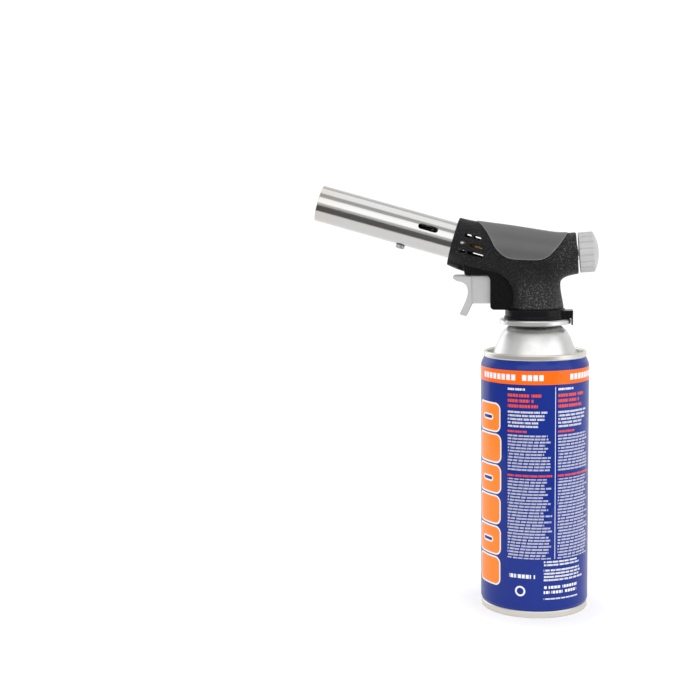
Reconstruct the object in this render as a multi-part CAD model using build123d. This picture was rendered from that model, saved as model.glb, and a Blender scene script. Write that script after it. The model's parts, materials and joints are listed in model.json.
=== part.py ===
"""Hand-held butane torch: a cartridge with a bayonet collar, and the torch head locked on top of it.

Millimetres. +Z is up along the cartridge's axis, the origin is the centre of its base on the surface it stands on,
-X is the way the flame leaves and +X is the knob side. The head is symmetric about the plane Y = 0, apart from its
screws, which enter from +Y. Every separate piece of the real object is written to its own STEP file.
"""

from build123d import *

import os
from math import cos, radians, sin

# ---------------------------------------------------------------- driving dimensions: cartridge
CAN_R = 33.0  # outside radius of the printed can
CAN_WALL = 0.4
SEAM_H = 3.4  # height of a rolled double seam
BOTTOM_SEAM_R = 32.6
TOP_SEAM_R = 31.3
BODY_LOW = 4.2  # lower edge of the can's wall, on the bottom seam
SHOULDER_Z = 150.4  # the wall starts to neck in
BODY_HIGH = 156.2  # upper edge of the can's wall, under the top seam
BODY_HIGH_R = 30.9
NECK_R = 15.0  # outside radius of the sheet neck under the collar
DOME_TOP_Z = 174.9
COLLAR_R = 21.7
COLLAR_TOP_Z = 179.1
COLLAR_LOW_Z = 176.0
COLLAR_T = 0.8
COLLAR_HOLE_R = 10.7
STEM_TOP_Z = 177.0  # top of the can's stem while the head holds it pressed
STEM_R = 1.7

# ---------------------------------------------------------------- driving dimensions: head
LUG_COUNT = 3
LUG_ARC = 30.0  # degrees that a bayonet lug covers
NOTCH_ARC = 36.0  # degrees of the collar notch that a lug drops through
TWIST = 45.0  # degrees from locked to unlocked
RING_LOW_Z = 179.3
RING_TOP_Z = 185.4
RING_R = 18.8
BURNER_TILT = 16.0  # the burner tube rises towards the flame
VALVE_TILT = 4.4  # the valve's axis rises towards the knob
BURNER_FACE = (-49.8, 0.0, 226.8)  # centre of the housing's front face
VALVE_ORIGIN = (0.0, 0.0, 217.0)  # the valve's axis over the cartridge's axis
FRONT_R = 14.0
MIDDLE_R = 13.3
REAR_R = 12.6
REAR_S = 24.9  # distance along the valve's axis to the housing's rear face
SHELL_WALL = 2.2
COVER_PROUD = 0.5
COVER_SUNK = 1.0
WEB_HALF = 9.2  # half width of the web that holds the trigger
TUBE_R = 11.2
TUBE_WALL = 0.6
TUBE_FRONT = 86.0  # flame end of the burner tube, from the housing's front face
TUBE_BACK = -7.0
BURNER_SCREW_S = 30.7  # place of the burner screw, from the housing's front face
KNOB_R = 12.3
KNOB_S = 25.9  # the knob's inner face, along the valve's axis
KNOB_LONG = 8.8
KNOB_DOME = 2.9
KNOB_GROOVES = 18
NEEDLE_END = 8.0  # the spindle bears on the push needle here, along the valve's axis
HUB_END = 34.0  # bottom of the bore in the knob's hub, along the valve's axis
TRIGGER_HALF = 6.2
TRIGGER_LOW_Z = 188.6
TRIGGER_TOP_Z = 205.0
LIP_Z = 205.4  # underside of the housing above the trigger
WALL_X = -27.0  # housing wall that the trigger slides into
PIEZO_Z = 196.0
PIEZO_HALF = 4.6
PIEZO_FRONT_X = -35.6  # front end of the piezo unit's plunger, in the trigger's pocket
ELECTRODE_UP = 8.0  # the electrode runs this far over the burner's axis
ELECTRODE_BACK = -9.0  # its rear end, from the housing's front face
SCREW_SPOTS = [(-36.0, 209.3), (14.5, 208.6), (10.8, 195.0), (-22.0, 230.2)]  # X and Z of the housing's screws
SCREW_SEAT_Y = 6.0  # their heads bear here
SCREW_END_Y = -5.0

OUT = "parts"

BURNER_AXIS = Vector(-cos(radians(BURNER_TILT)), 0, sin(radians(BURNER_TILT)))
VALVE_AXIS = Vector(cos(radians(VALVE_TILT)), 0, sin(radians(VALVE_TILT)))
BURNER = Plane(origin=BURNER_FACE, x_dir=(0, -1, 0), z_dir=BURNER_AXIS)
VALVE = Plane(origin=VALVE_ORIGIN, x_dir=(0, -1, 0), z_dir=VALVE_AXIS)


# ---------------------------------------------------------------- helpers
def rod(radius, low, high, plane=Plane.XY):
    """Solid cylinder about the plane's normal, from low to high along it."""
    return plane * Pos(0, 0, low) * Cylinder(radius, high - low, align=(Align.CENTER, Align.CENTER, Align.MIN))


def ring(outer, inner, low, high, plane=Plane.XY):
    """Hollow cylinder about the plane's normal."""
    return rod(outer, low, high, plane) - rod(inner, low - 1, high + 1, plane)


def turned(points, plane=Plane.XY):
    """Solid of revolution about the plane's normal from a closed outline of (radius, height) points."""
    outline = Polyline(*[(r, 0, z) for r, z in points], close=True)
    return plane * revolve(make_face(outline), Axis.Z, 360)


def sheet_turned(points, wall):
    """Revolved sheet metal: a smooth line of (radius, height) points, thickened inwards by wall."""
    line = Spline(*[(r, 0, z) for r, z in points])
    inner = []
    for i in range(len(points)):
        t = line.tangent_at(line.param_at_point(Vector(points[i][0], 0, points[i][1])))
        inner.append(Vector(points[i][0], 0, points[i][1]) + Vector(t.Z, 0, -t.X) * wall)
    back = Spline(*inner)
    outline = [line, Line(line @ 1, back @ 1), back, Line(back @ 0, line @ 0)]
    return revolve(make_face(outline), Axis.Z, 360)


def box(x, y, z):
    """Box from three (low, high) pairs."""
    size = [b - a for a, b in (x, y, z)]
    low = [a for a, b in (x, y, z)]
    return Pos(*low) * Box(*size, align=Align.MIN)


def prism(outline, half):
    """Extrudes an XZ outline to half on both sides of Y = 0."""
    return extrude(make_face(outline), amount=half, dir=(0, 1, 0), both=True)


def pipe(path, radius):
    """Round bar that follows a path."""
    return sweep(Plane(path @ 0, z_dir=path % 0) * Circle(radius), path=path)


def coil(radius, wire, low, high, turns, plane=Plane.XY):
    """Compression spring about the plane's normal."""
    height = high - low - 2 * wire
    line = Helix(pitch=height / turns, height=height, radius=radius)
    section = Plane(line @ 0, z_dir=line % 0) * Circle(wire)
    return plane * Pos(0, 0, low + wire) * sweep(section, path=line, is_frenet=True)


def in_plane(x, z):
    """Point of the plane Y = 0."""
    return (x, 0, z)


# ---------------------------------------------------------------- cartridge
def cartridge_body():
    wall = CAN_WALL
    outer = [
        Line((BOTTOM_SEAM_R - 0.3, 0, BODY_LOW), (BOTTOM_SEAM_R - 0.3, 0, BODY_LOW + 0.3)),
        Line((BOTTOM_SEAM_R - 0.3, 0, BODY_LOW + 0.3), (CAN_R, 0, BODY_LOW + 1.6)),
        Line((CAN_R, 0, BODY_LOW + 1.6), (CAN_R, 0, SHOULDER_Z)),
        Spline(
            (CAN_R, 0, SHOULDER_Z),
            (CAN_R - 0.9, 0, (SHOULDER_Z + BODY_HIGH) / 2),
            (BODY_HIGH_R, 0, BODY_HIGH),
            tangents=[(0, 0, 1), (-0.4, 0, 1)],
        ),
    ]
    inner = [
        Line((BOTTOM_SEAM_R - 0.3 - wall, 0, BODY_LOW), (BOTTOM_SEAM_R - 0.3 - wall, 0, BODY_LOW + 0.3)),
        Line((BOTTOM_SEAM_R - 0.3 - wall, 0, BODY_LOW + 0.3), (CAN_R - wall, 0, BODY_LOW + 1.6)),
        Line((CAN_R - wall, 0, BODY_LOW + 1.6), (CAN_R - wall, 0, SHOULDER_Z)),
        Spline(
            (CAN_R - wall, 0, SHOULDER_Z),
            (CAN_R - wall - 0.9, 0, (SHOULDER_Z + BODY_HIGH) / 2),
            (BODY_HIGH_R - wall, 0, BODY_HIGH),
            tangents=[(0, 0, 1), (-0.4, 0, 1)],
        ),
    ]
    ends = [Line(outer[0] @ 0, inner[0] @ 0), Line(outer[-1] @ 1, inner[-1] @ 1)]
    return revolve(make_face(outer + inner + ends), Axis.Z, 360)


def cartridge_bottom():
    """Concave base with its rolled seam, which has a narrow flat foot."""
    high = BODY_LOW
    r = BOTTOM_SEAM_R
    outline = [
        Line((r - 1.4, 0, 0), (r - 0.5, 0, 0)),
        Spline((r - 0.5, 0, 0), (r, 0, 0.9), (r, 0, high - 0.5), (r - 0.4, 0, high)),
        Line((r - 0.4, 0, high), (r - 2.0, 0, high)),
        Line((r - 2.0, 0, high), (r - 2.0, 0, 2.6)),
        Spline((r - 2.0, 0, 2.6), (20, 0, 6.6), (0, 0, 9.0), tangents=[(-1, 0, 0.5), (-1, 0, 0)]),
        Line((0, 0, 9.0), (0, 0, 8.5)),
        Spline((0, 0, 8.5), (20, 0, 6.1), (r - 2.2, 0, 1.6), tangents=[(1, 0, 0), (1, 0, -0.6)]),
        Line((r - 2.2, 0, 1.6), (r - 1.4, 0, 0)),
    ]
    return revolve(make_face(outline), Axis.Z, 360)


def cartridge_top():
    """Domed top: the rolled seam, the channel inside it and the bell that narrows to the neck."""
    r = TOP_SEAM_R
    low, high = BODY_HIGH, BODY_HIGH + SEAM_H
    seam = [
        Line((r - 1.7, 0, low), (r - 0.3, 0, low)),
        Spline((r - 0.3, 0, low), (r, 0, low + 0.6), (r, 0, high - 0.6), (r - 0.5, 0, high)),
        Line((r - 0.5, 0, high), (r - 1.3, 0, high)),
        Line((r - 1.3, 0, high), (r - 1.7, 0, high - 0.5)),
        Line((r - 1.7, 0, high - 0.5), (r - 1.7, 0, low)),
    ]
    bell = sheet_turned(
        [(29.4, 158.6), (29.2, 156.0), (27.6, 155.0), (26.0, 156.8), (24.6, 160.2), (23.2, 163.8),
         (21.6, 167.6), (19.5, 171.2), (17.0, 173.6), (NECK_R + 0.2, DOME_TOP_Z)],
        -CAN_WALL,
    )
    joint = ring(r - 1.6, 29.1, 157.2, 158.6)
    return revolve(make_face(seam), Axis.Z, 360) + joint + bell


def collar_notches(low, high, outer):
    """The three notches through the collar's plate that the bayonet lugs drop through."""
    wedge = Pos(0, 0, low) * extrude(
        make_face([
            Line((0, 0), (outer * 1.2, 0)),
            CenterArc((0, 0), outer * 1.2, 0, NOTCH_ARC),
            Line((0, 0), (outer * 1.2 * cos(radians(NOTCH_ARC)), outer * 1.2 * sin(radians(NOTCH_ARC)))),
        ]),
        amount=high - low,
    )
    wedge = wedge & rod(outer, low, high)
    cuts = [Rot(0, 0, TWIST + i * 360 / LUG_COUNT - NOTCH_ARC / 2) * wedge for i in range(LUG_COUNT)]
    return cuts[0] + cuts[1:]


def cartridge_collar():
    """Pressed collar: plate with the bayonet hole, rolled skirt with one rim notch, and the neck under it."""
    t = COLLAR_T
    profile = [
        (COLLAR_HOLE_R, COLLAR_TOP_Z), (COLLAR_R - 0.5, COLLAR_TOP_Z), (COLLAR_R, COLLAR_TOP_Z - 0.5),
        (COLLAR_R, COLLAR_LOW_Z + 0.3), (COLLAR_R - 0.3, COLLAR_LOW_Z), (COLLAR_R - 0.9, COLLAR_LOW_Z),
        (COLLAR_R - 0.9, COLLAR_TOP_Z - t), (NECK_R, COLLAR_TOP_Z - t), (NECK_R, DOME_TOP_Z + 0.05),
        (NECK_R - 0.7, DOME_TOP_Z + 0.05), (NECK_R - 0.7, COLLAR_TOP_Z - t), (COLLAR_HOLE_R, COLLAR_TOP_Z - t),
    ]
    notch = Rot(0, 0, 215) * box((COLLAR_R - 1.6, COLLAR_R + 1), (-2.5, 2.5), (COLLAR_LOW_Z - 1, COLLAR_TOP_Z + 1))
    return turned(profile) - collar_notches(COLLAR_TOP_Z - 2, COLLAR_TOP_Z + 1, NECK_R - 1.0) - notch


def valve_cup():
    """Dished cup crimped into the dome's opening, with the pedestal that holds the can's valve."""
    return turned([
        (14.9, 174.5), (14.1, 174.5), (13.6, 174.0), (12.6, 169.2), (11.4, 168.4), (8.0, 168.4), (6.0, 169.4),
        (5.4, 171.0), (5.2, 173.4), (4.4, 174.4), (1.95, 174.4), (1.95, 174.0), (4.45, 174.0), (4.45, 170.4),
        (5.4, 168.8), (7.6, 167.9), (11.6, 167.9), (13.1, 168.7), (14.1, 173.4), (14.9, 173.9),
    ])


def can_valve_housing():
    return turned([
        (4.4, 172.8), (4.4, 161.0), (3.6, 160.0), (2.0, 160.0), (2.0, 154.0), (1.0, 154.0), (1.0, 161.4),
        (3.2, 161.4), (3.2, 172.8),
    ])


def can_valve_stem():
    """Hollow stem with the shoulder that seals against the gasket when it is let up."""
    stem = turned([
        (0.6, STEM_TOP_Z), (STEM_R, STEM_TOP_Z), (STEM_R, 171.0), (2.8, 171.0), (2.8, 169.6), (1.3, 169.6),
        (1.3, 166.8), (0, 166.8), (0, 171.8), (0.6, 171.8),
    ])
    return stem - rod(0.4, -4, 4, Plane(origin=(0, 0, 172.3), z_dir=(1, 0, 0)))


def vapour_tube():
    """Bent tube that draws gas from above the liquid when the cartridge lies down."""
    route = FilletPolyline((0, 0, 160.0), (0, 0, 136.0), (-25.0, 0, 121.0), radius=9)
    return pipe(route, 2.9) - pipe(route, 2.1) - rod(5, 159.99, 170)


# ---------------------------------------------------------------- bayonet and inlet
def lugs(outer, low, high):
    wedge = extrude(
        make_face([
            Line((0, 0), (outer, 0)),
            CenterArc((0, 0), outer, 0, LUG_ARC),
            Line((0, 0), (outer * cos(radians(LUG_ARC)), outer * sin(radians(LUG_ARC)))),
        ]),
        amount=high - low,
    )
    made = [Rot(0, 0, i * 360 / LUG_COUNT - LUG_ARC / 2) * Pos(0, 0, low) * wedge for i in range(LUG_COUNT)]
    return made[0] + made[1:]


def bayonet_insert():
    """Metal sleeve whose three lugs hook under the collar's plate."""
    sleeve = rod(10.35, 176.2, 189.0) + lugs(13.6, 176.2, 178.0)
    return sleeve - rod(6.2, 170, 195)


def base_ring():
    """Black ring under the neck, with the catch that reaches down past the collar's rim."""
    body = turned([
        (RING_R - 0.3, RING_LOW_Z), (RING_R, RING_LOW_Z + 0.3), (RING_R, RING_LOW_Z + 1.1), (18.2, RING_LOW_Z + 1.6),
        (18.2, RING_TOP_Z - 0.6), (17.7, RING_TOP_Z), (15.0, RING_TOP_Z), (15.0, 187.8), (10.45, 187.8),
        (10.45, RING_LOW_Z),
    ])
    catch = box((15.5, 22.9), (-6.0, 6.0), (RING_LOW_Z + 0.2, 184.2))
    hook = box((22.0, 22.9), (-6.0, 6.0), (175.3, 184.2))
    catch = fillet((catch + hook).edges().filter_by(Axis.Z).sort_by(Axis.X)[-2:], 0.6)
    return body + (catch - rod(16.5, 170, 190))


def inlet_nozzle():
    """Brass column that carries the gas up from the cartridge; its recess takes and presses the can's stem."""
    return turned([
        (2.2, 176.4), (5.4, 176.4), (5.4, 178.4), (6.15, 179.2), (6.15, 200.0), (3.98, 200.0), (3.98, 206.0),
        (1.0, 206.0), (1.0, 185.0), (2.1, 185.0), (2.1, 181.0), (0.8, 181.0), (0.8, STEM_TOP_Z + 0.1),
        (2.2, STEM_TOP_Z + 0.1),
    ])


def valve_block():
    """Brass block: the upright inlet boss and the barrel of the needle valve."""
    made = rod(6.7, 200.05, 215.0) + rod(5.0, -8.6, 15.0, VALVE)
    made -= rod(4.0, 199, 206.05)
    made -= rod(1.0, 205, VALVE_ORIGIN[2])
    made -= rod(3.05, 2.0, 16.0, VALVE)
    made -= rod(1.2, -3.0, 3.0, VALVE)
    return made - rod(2.5, -9.6, -6.0, VALVE) - rod(1.0, -7.0, 0.0, VALVE)


def gland_nut():
    nut = VALVE * Pos(0, 0, 15.05) * extrude(RegularPolygon(5.2, 6), amount=4.9)
    return nut - rod(2.1, 10, 25, VALVE) - rod(3.5, 16.2, 17.8, VALVE)


def valve_needle():
    """Push needle: it moves along the axis and doesn't turn."""
    return turned([(0, -0.2), (1.16, 2.0), (1.6, 2.8), (1.6, NEEDLE_END), (0, NEEDLE_END)], VALVE)


def valve_spindle():
    """Threaded spindle, turned by the knob, with a flat on the knob's end."""
    end = HUB_END - 0.1
    shaft = rod(2.9, NEEDLE_END + 0.02, 13.5, VALVE) + rod(1.98, 13.0, end, VALVE)
    flat = VALVE * box((-3, 3), (1.4, 4), (end - 4.9, end + 1.1))
    return shaft - flat


def spindle_bush():
    return ring(4.5, 2.1, 21.0, REAR_S + 0.9, VALVE)


def knob():
    """Ribbed hand wheel: a cup with a central hub, closed by a shallow dome."""
    end = KNOB_S + KNOB_LONG
    outline = [
        Line((0, 0, HUB_END), (2.0, 0, HUB_END)),
        Line((2.0, 0, HUB_END), (2.0, 0, KNOB_S + 2.1)),
        Line((2.0, 0, KNOB_S + 2.1), (4.0, 0, KNOB_S + 2.1)),
        Line((4.0, 0, KNOB_S + 2.1), (4.0, 0, HUB_END)),
        Line((4.0, 0, HUB_END), (10.2, 0, HUB_END)),
        Line((10.2, 0, HUB_END), (10.2, 0, KNOB_S)),
        Line((10.2, 0, KNOB_S), (KNOB_R - 0.4, 0, KNOB_S)),
        Line((KNOB_R - 0.4, 0, KNOB_S), (KNOB_R, 0, KNOB_S + 0.4)),
        Line((KNOB_R, 0, KNOB_S + 0.4), (KNOB_R, 0, end - 0.3)),
        Line((KNOB_R, 0, end - 0.3), (KNOB_R - 0.5, 0, end)),
        Spline(
            (KNOB_R - 0.5, 0, end), (KNOB_R * 0.6, 0, end + KNOB_DOME * 0.68), (0, 0, end + KNOB_DOME),
            tangents=[(-1, 0, 0.55), (-1, 0, 0)],
        ),
        Line((0, 0, end + KNOB_DOME), (0, 0, HUB_END)),
    ]
    made = VALVE * revolve(make_face(outline), Axis.Z, 360)
    for i in range(KNOB_GROOVES):
        spot = Rot(0, 0, (i + 0.35) * 360 / KNOB_GROOVES) * Pos(KNOB_R + 0.15, 0, 0)
        made -= VALVE * spot * Pos(0, 0, KNOB_S - 1) * Cylinder(
            0.6, KNOB_LONG + 1.0, align=(Align.CENTER, Align.CENTER, Align.MIN))
    return made


# ---------------------------------------------------------------- housing
def barrel(offset, front=0.0, rear=REAR_S):
    """Horizontal body of the housing: a smooth loft from the burner's circle to the valve's, grown by offset."""
    middle = Plane(origin=(-14.0, 0, 221.8), x_dir=(0, -1, 0), z_dir=(-cos(radians(9)), 0, sin(radians(9))))
    stations = [
        (BURNER.offset(front), FRONT_R),
        (BURNER.offset(-10.0), FRONT_R),
        (middle, MIDDLE_R),
        (Plane(VALVE.origin + VALVE_AXIS * 15.0, x_dir=(0, -1, 0), z_dir=-VALVE_AXIS), REAR_R),
        (Plane(VALVE.origin + VALVE_AXIS * rear, x_dir=(0, -1, 0), z_dir=-VALVE_AXIS), REAR_R),
    ]
    made = []
    for (one, r_one), (two, r_two) in zip(stations, stations[1:]):
        made.append(loft([one * Circle(r_one + offset), two * Circle(r_two + offset)], ruled=True))
    return made[0] + made[1:]


def neck(offset):
    """Neck between the barrel and the base ring: ellipses that widen and run forward into the barrel."""
    stations = [  # height, rear reach, front reach, half width
        (185.6, 17.4, 17.4, 17.4), (190.0, 16.7, 16.7, 16.5), (195.0, 15.7, 15.9, 15.3), (199.5, 15.2, 18.3, 14.2),
        (203.0, 16.1, 22.5, 13.3), (206.0, 18.9, 28.5, 12.3), (209.5, 20.4, 38.5, 11.2), (213.5, 19.5, 45.0, 9.4),
        (218.0, 14.0, 40.0, 6.0),
    ]
    faces = [
        Pos((rear - front) / 2, 0, z) * Ellipse((rear + front) / 2 + offset, half + offset)
        for z, rear, front, half in stations
    ]
    return loft(faces)


def web_outline():
    """Profile of the flat web that carries the trigger: a lip over it and a wall behind it."""
    corner, foot = 3.4, 2.4
    return [
        Line(in_plane(-43.6, 216), in_plane(-42.4, LIP_Z + 0.8)),
        Line(in_plane(-42.4, LIP_Z + 0.8), in_plane(-41.6, LIP_Z)),
        Line(in_plane(-41.6, LIP_Z), in_plane(WALL_X - corner, LIP_Z)),
        TangentArc(in_plane(WALL_X - corner, LIP_Z), in_plane(WALL_X, LIP_Z - corner), tangent=(1, 0, 0)),
        Line(in_plane(WALL_X, LIP_Z - corner), in_plane(WALL_X, 184.9 + foot)),
        TangentArc(in_plane(WALL_X, 184.9 + foot), in_plane(WALL_X + foot, 184.9), tangent=(0, 0, -1)),
        Line(in_plane(WALL_X + foot, 184.9), in_plane(-14.0, 184.9)),
        Line(in_plane(-14.0, 184.9), in_plane(-8.0, 192)),
        Line(in_plane(-8.0, 192), in_plane(-8.0, 216)),
        Line(in_plane(-8.0, 216), in_plane(-43.6, 216)),
    ]


def cover_outline(grow=0.0):
    """U-shaped side outline of the top cover, open above."""
    edge = Spline(
        in_plane(-37.4 - grow, 240.5), in_plane(-27.3 - grow, 229.0 - grow), in_plane(-21.1 - grow, 220.6 - grow),
        in_plane(-12.8, 216.0 - grow), in_plane(-4.5, 215.5 - grow), in_plane(3.0, 216.1 - grow),
        in_plane(10.6 + grow, 221.0 - grow), in_plane(18.8 + grow, 232.6 - grow),
    )
    return [
        edge,
        Line(edge @ 1, in_plane(18.8 + grow, 246)),
        Line(in_plane(18.8 + grow, 246), in_plane(-37.4 - grow, 246)),
        Line(in_plane(-37.4 - grow, 246), edge @ 0),
    ]


def vent_slots():
    """Air slots of the housing's front, cut straight through both sides: three rows of a short and a long slot."""
    rows = [(5.9, 6.2, 16.6), (1.0, 4.8, 19.4), (-3.9, 4.8, 20.6)]
    width, short, bridge = 1.9, 4.4, 1.3
    cuts = []
    for height, start, stop in rows:
        for first, last in ((start, start + short), (start + short + bridge, stop)):
            middle = (first + last) / 2
            spot = Vector(*BURNER_FACE) - BURNER_AXIS * middle
            spot += Vector(sin(radians(BURNER_TILT)), 0, cos(radians(BURNER_TILT))) * height
            slot = Plane(origin=spot, x_dir=BURNER_AXIS, z_dir=(0, -1, 0)) * SlotOverall(last - first, width)
            cuts.append(extrude(slot, amount=20, both=True))
    return cuts


def along_y(x, z, radius, low, high):
    """Cylinder along Y."""
    return Plane(origin=(x, low, z), z_dir=(0, 1, 0)) * Cylinder(
        radius, high - low, align=(Align.CENTER, Align.CENTER, Align.MIN))


def housing():
    """The whole housing before it is split: outer form, cavities, bosses, vents and screw holes."""
    skin = barrel(0) + neck(0) + prism(web_outline(), WEB_HALF)
    hollow = barrel(-SHELL_WALL, front=-2.5, rear=REAR_S - 2.5)
    hollow += neck(-SHELL_WALL) & box((-60, 60), (-30, 30), (187.9, 230))
    hollow += box((-25.0, -8.0), (-7.0, 7.0), (187.0, 214.0))
    hollow -= [along_y(x, z, 3.0, -20, 20) for x, z in SCREW_SPOTS]
    made = skin - hollow
    made -= rod(TUBE_R + 0.05, -4, 1, BURNER)
    made -= rod(4.5 + 0.02, 20, 28, VALVE)
    made -= rod(15.1, 185, 188.0) + rod(18.4, 184, RING_TOP_Z + 0.1)
    made -= box((WALL_X - 5, -13.0), (-TRIGGER_HALF - 0.25, TRIGGER_HALF + 0.25), (188.2, LIP_Z))
    made -= prism(cover_outline(0.1), 20) - barrel(-COVER_SUNK - 0.02, front=2, rear=REAR_S + 2)
    made -= vent_slots()
    for x, z in SCREW_SPOTS:
        made -= along_y(x, z, 2.3, SCREW_SEAT_Y, 20) + along_y(x, z, 1.3, 0, SCREW_SEAT_Y + 1)
        made -= along_y(x, z, 1.1, SCREW_END_Y - 0.5, 1)
    return made


def top_cover():
    """Grey saddle that covers the top and comes down both sides."""
    shell = barrel(COVER_PROUD, front=2, rear=REAR_S + 2) - barrel(-COVER_SUNK, front=3, rear=REAR_S + 3)
    return shell & prism(cover_outline(), 20)


def housing_screws():
    made = []
    for x, z in SCREW_SPOTS:
        head = along_y(x, z, 2.2, SCREW_SEAT_Y, SCREW_SEAT_Y + 1.7)
        cross = box((x - 1.3, x + 1.3), (SCREW_SEAT_Y + 0.9, SCREW_SEAT_Y + 3), (z - 0.3, z + 0.3))
        cross += box((x - 0.3, x + 0.3), (SCREW_SEAT_Y + 0.9, SCREW_SEAT_Y + 3), (z - 1.3, z + 1.3))
        made.append(head - cross + along_y(x, z, 1.1, SCREW_END_Y, SCREW_SEAT_Y))
    return Compound(children=made)


# ---------------------------------------------------------------- trigger and piezo igniter
def trigger():
    """Finger plate with its two horns, and the hollow block that slides over the piezo unit."""
    plate = [
        Line(in_plane(-49.2, TRIGGER_TOP_Z), in_plane(-38.6, TRIGGER_TOP_Z)),
        Line(in_plane(-38.6, TRIGGER_TOP_Z), in_plane(-38.2, 188.4)),
        Line(in_plane(-38.2, 188.4), in_plane(-41.4, 181.0)),
        Line(in_plane(-41.4, 181.0), in_plane(-45.8, 182.0)),
        Spline(
            in_plane(-45.8, 182.0), in_plane(-41.9, 190.6), in_plane(-40.8, 195.8), in_plane(-42.2, 200.4),
            in_plane(-48.2, 202.6),
        ),
        Line(in_plane(-48.2, 202.6), in_plane(-49.8, 203.8)),
        Line(in_plane(-49.8, 203.8), in_plane(-49.2, TRIGGER_TOP_Z)),
    ]
    front = prism(plate, TRIGGER_HALF + 1.3)
    block = box((-39.5, -20.0), (-TRIGGER_HALF, TRIGGER_HALF), (TRIGGER_LOW_Z, TRIGGER_TOP_Z - 0.2))
    half = PIEZO_HALF + 0.5
    pocket = box((PIEZO_FRONT_X, -19.0), (-half, half), (PIEZO_Z - half, PIEZO_Z + half))
    return front + block - pocket


def piezo_body():
    half = PIEZO_HALF
    case = box((-24.0, -9.2), (-half, half), (PIEZO_Z - half, PIEZO_Z + half))
    bore = Plane(origin=(-25.0, 0, PIEZO_Z), z_dir=(1, 0, 0))
    return case - rod(3.35, 0, 13.0, bore)


def piezo_plunger():
    line = Plane(origin=(PIEZO_FRONT_X, 0, PIEZO_Z), z_dir=(1, 0, 0))
    return rod(3.2, 0, 13.6, line) - rod(2.0, 8, 14, line)


def trigger_spring():
    line = Plane(origin=(PIEZO_FRONT_X, 0, PIEZO_Z), z_dir=(1, 0, 0))
    return coil(3.95, 0.4, 0.1, 11.5, 6, line)


def ignition_cable():
    """High-voltage lead from the piezo unit to the electrode, inside the housing."""
    start = electrode_spot(ELECTRODE_BACK)
    route = FilletPolyline(
        start, start - BURNER_AXIS * 5.5, (-27.5, 5.5, 225.0), (-18.0, 5.0, 212.0), (-10.9, 0, 207.5),
        (-10.9, 0, PIEZO_Z + PIEZO_HALF + 0.05), radius=3.0,
    )
    return pipe(route, 1.1)


# ---------------------------------------------------------------- burner
def electrode_spot(along, height=ELECTRODE_UP):
    """Point over the burner's axis, at a distance along it from the housing's front face."""
    up = Vector(sin(radians(BURNER_TILT)), 0, cos(radians(BURNER_TILT)))
    return Vector(*BURNER_FACE) + BURNER_AXIS * along + up * height


def flame_tube():
    """Thin steel tube with three air slots and the hole of the burner screw."""
    made = ring(TUBE_R, TUBE_R - TUBE_WALL, TUBE_BACK, TUBE_FRONT, BURNER)
    for turn in (20, 140, 260):
        slot = Plane(origin=(0, 0, 16.3), x_dir=(0, 0, 1), z_dir=(cos(radians(turn)), sin(radians(turn)), 0))
        made -= BURNER * extrude(slot * SlotOverall(12.4, 3.7), amount=TUBE_R + 2)
    return made - burner_screw_hole(1.3, 9.0, 14.0)


def burner_screw_hole(radius, low, high):
    """Cylinder that runs down from the burner's axis at the screw's place."""
    down = Vector(-sin(radians(BURNER_TILT)), 0, -cos(radians(BURNER_TILT)))
    spot = Vector(*BURNER_FACE) + BURNER_AXIS * BURNER_SCREW_S
    return rod(radius, low, high, Plane(origin=spot, x_dir=(0, 1, 0), z_dir=down))


def burner_screw():
    head = burner_screw_hole(2.9, TUBE_R + 0.02, TUBE_R + 2.5)
    down = Vector(-sin(radians(BURNER_TILT)), 0, -cos(radians(BURNER_TILT)))
    spot = Vector(*BURNER_FACE) + BURNER_AXIS * BURNER_SCREW_S + down * (TUBE_R + 1.6)
    slot = Plane(origin=spot, x_dir=(0, 1, 0), z_dir=down) * Box(
        7, 0.7, 3, align=(Align.CENTER, Align.CENTER, Align.MIN))
    return head + burner_screw_hole(1.25, 6.5, TUBE_R + 0.1) - slot


def support_ring():
    """Spider that centres the mixing tube in the flame tube; the burner screw threads into it."""
    made = ring(TUBE_R - TUBE_WALL - 0.05, 5.25, BURNER_SCREW_S - 2.8, BURNER_SCREW_S + 2.8, BURNER)
    for i in range(6):
        turn = radians(i * 60)
        made -= BURNER * Pos(ELECTRODE_UP * sin(turn), ELECTRODE_UP * cos(turn), BURNER_SCREW_S - 4) * Cylinder(
            1.55 if i == 0 else 1.4, 8, align=(Align.CENTER, Align.CENTER, Align.MIN))
    return made - burner_screw_hole(1.25, 6.0, 14.0)


def mixing_tube():
    made = ring(5.2, 4.6, -2.4, 50.0, BURNER)
    for turn in (20, 110, 200, 290):
        hole = Plane(origin=(0, 0, 14.5), z_dir=(cos(radians(turn)), sin(radians(turn)), 0))
        made -= BURNER * rod(1.7, 3, 7, hole)
    return made


def burner_head():
    """Brass cup on the end of the mixing tube, closed by a plate with a centre hole and a ring of flame holes."""
    made = turned([(5.25, 47.0), (6.4, 47.0), (7.0, 49.0), (7.0, 60.0), (0, 60.0), (0, 58.2), (6.0, 58.2),
                   (6.0, 50.0), (5.25, 50.0)], BURNER)
    made -= rod(1.9, 55, 62, BURNER)
    for i in range(10):
        made -= BURNER * Rot(0, 0, i * 36) * Pos(4.2, 0, 55) * Cylinder(0.75, 8)
    return made


def jet_holder():
    hexagon = BURNER * Pos(0, 0, -13.8) * extrude(RegularPolygon(5.0, 6), amount=5.8)
    made = hexagon + rod(3.9, -8.0, -3.0, BURNER)
    return made - rod(2.45, -16, -9, BURNER) - rod(1.0, -10, -5, BURNER) - rod(1.8, -6.5, -2, BURNER)


def gas_jet():
    return turned([(0.4, -6.0), (1.75, -6.0), (1.75, -3.0), (2.6, -3.0), (2.6, -2.6), (1.6, -1.2), (0.15, -1.2),
                   (0.15, -3.5), (0.4, -4.0)], BURNER)


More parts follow.
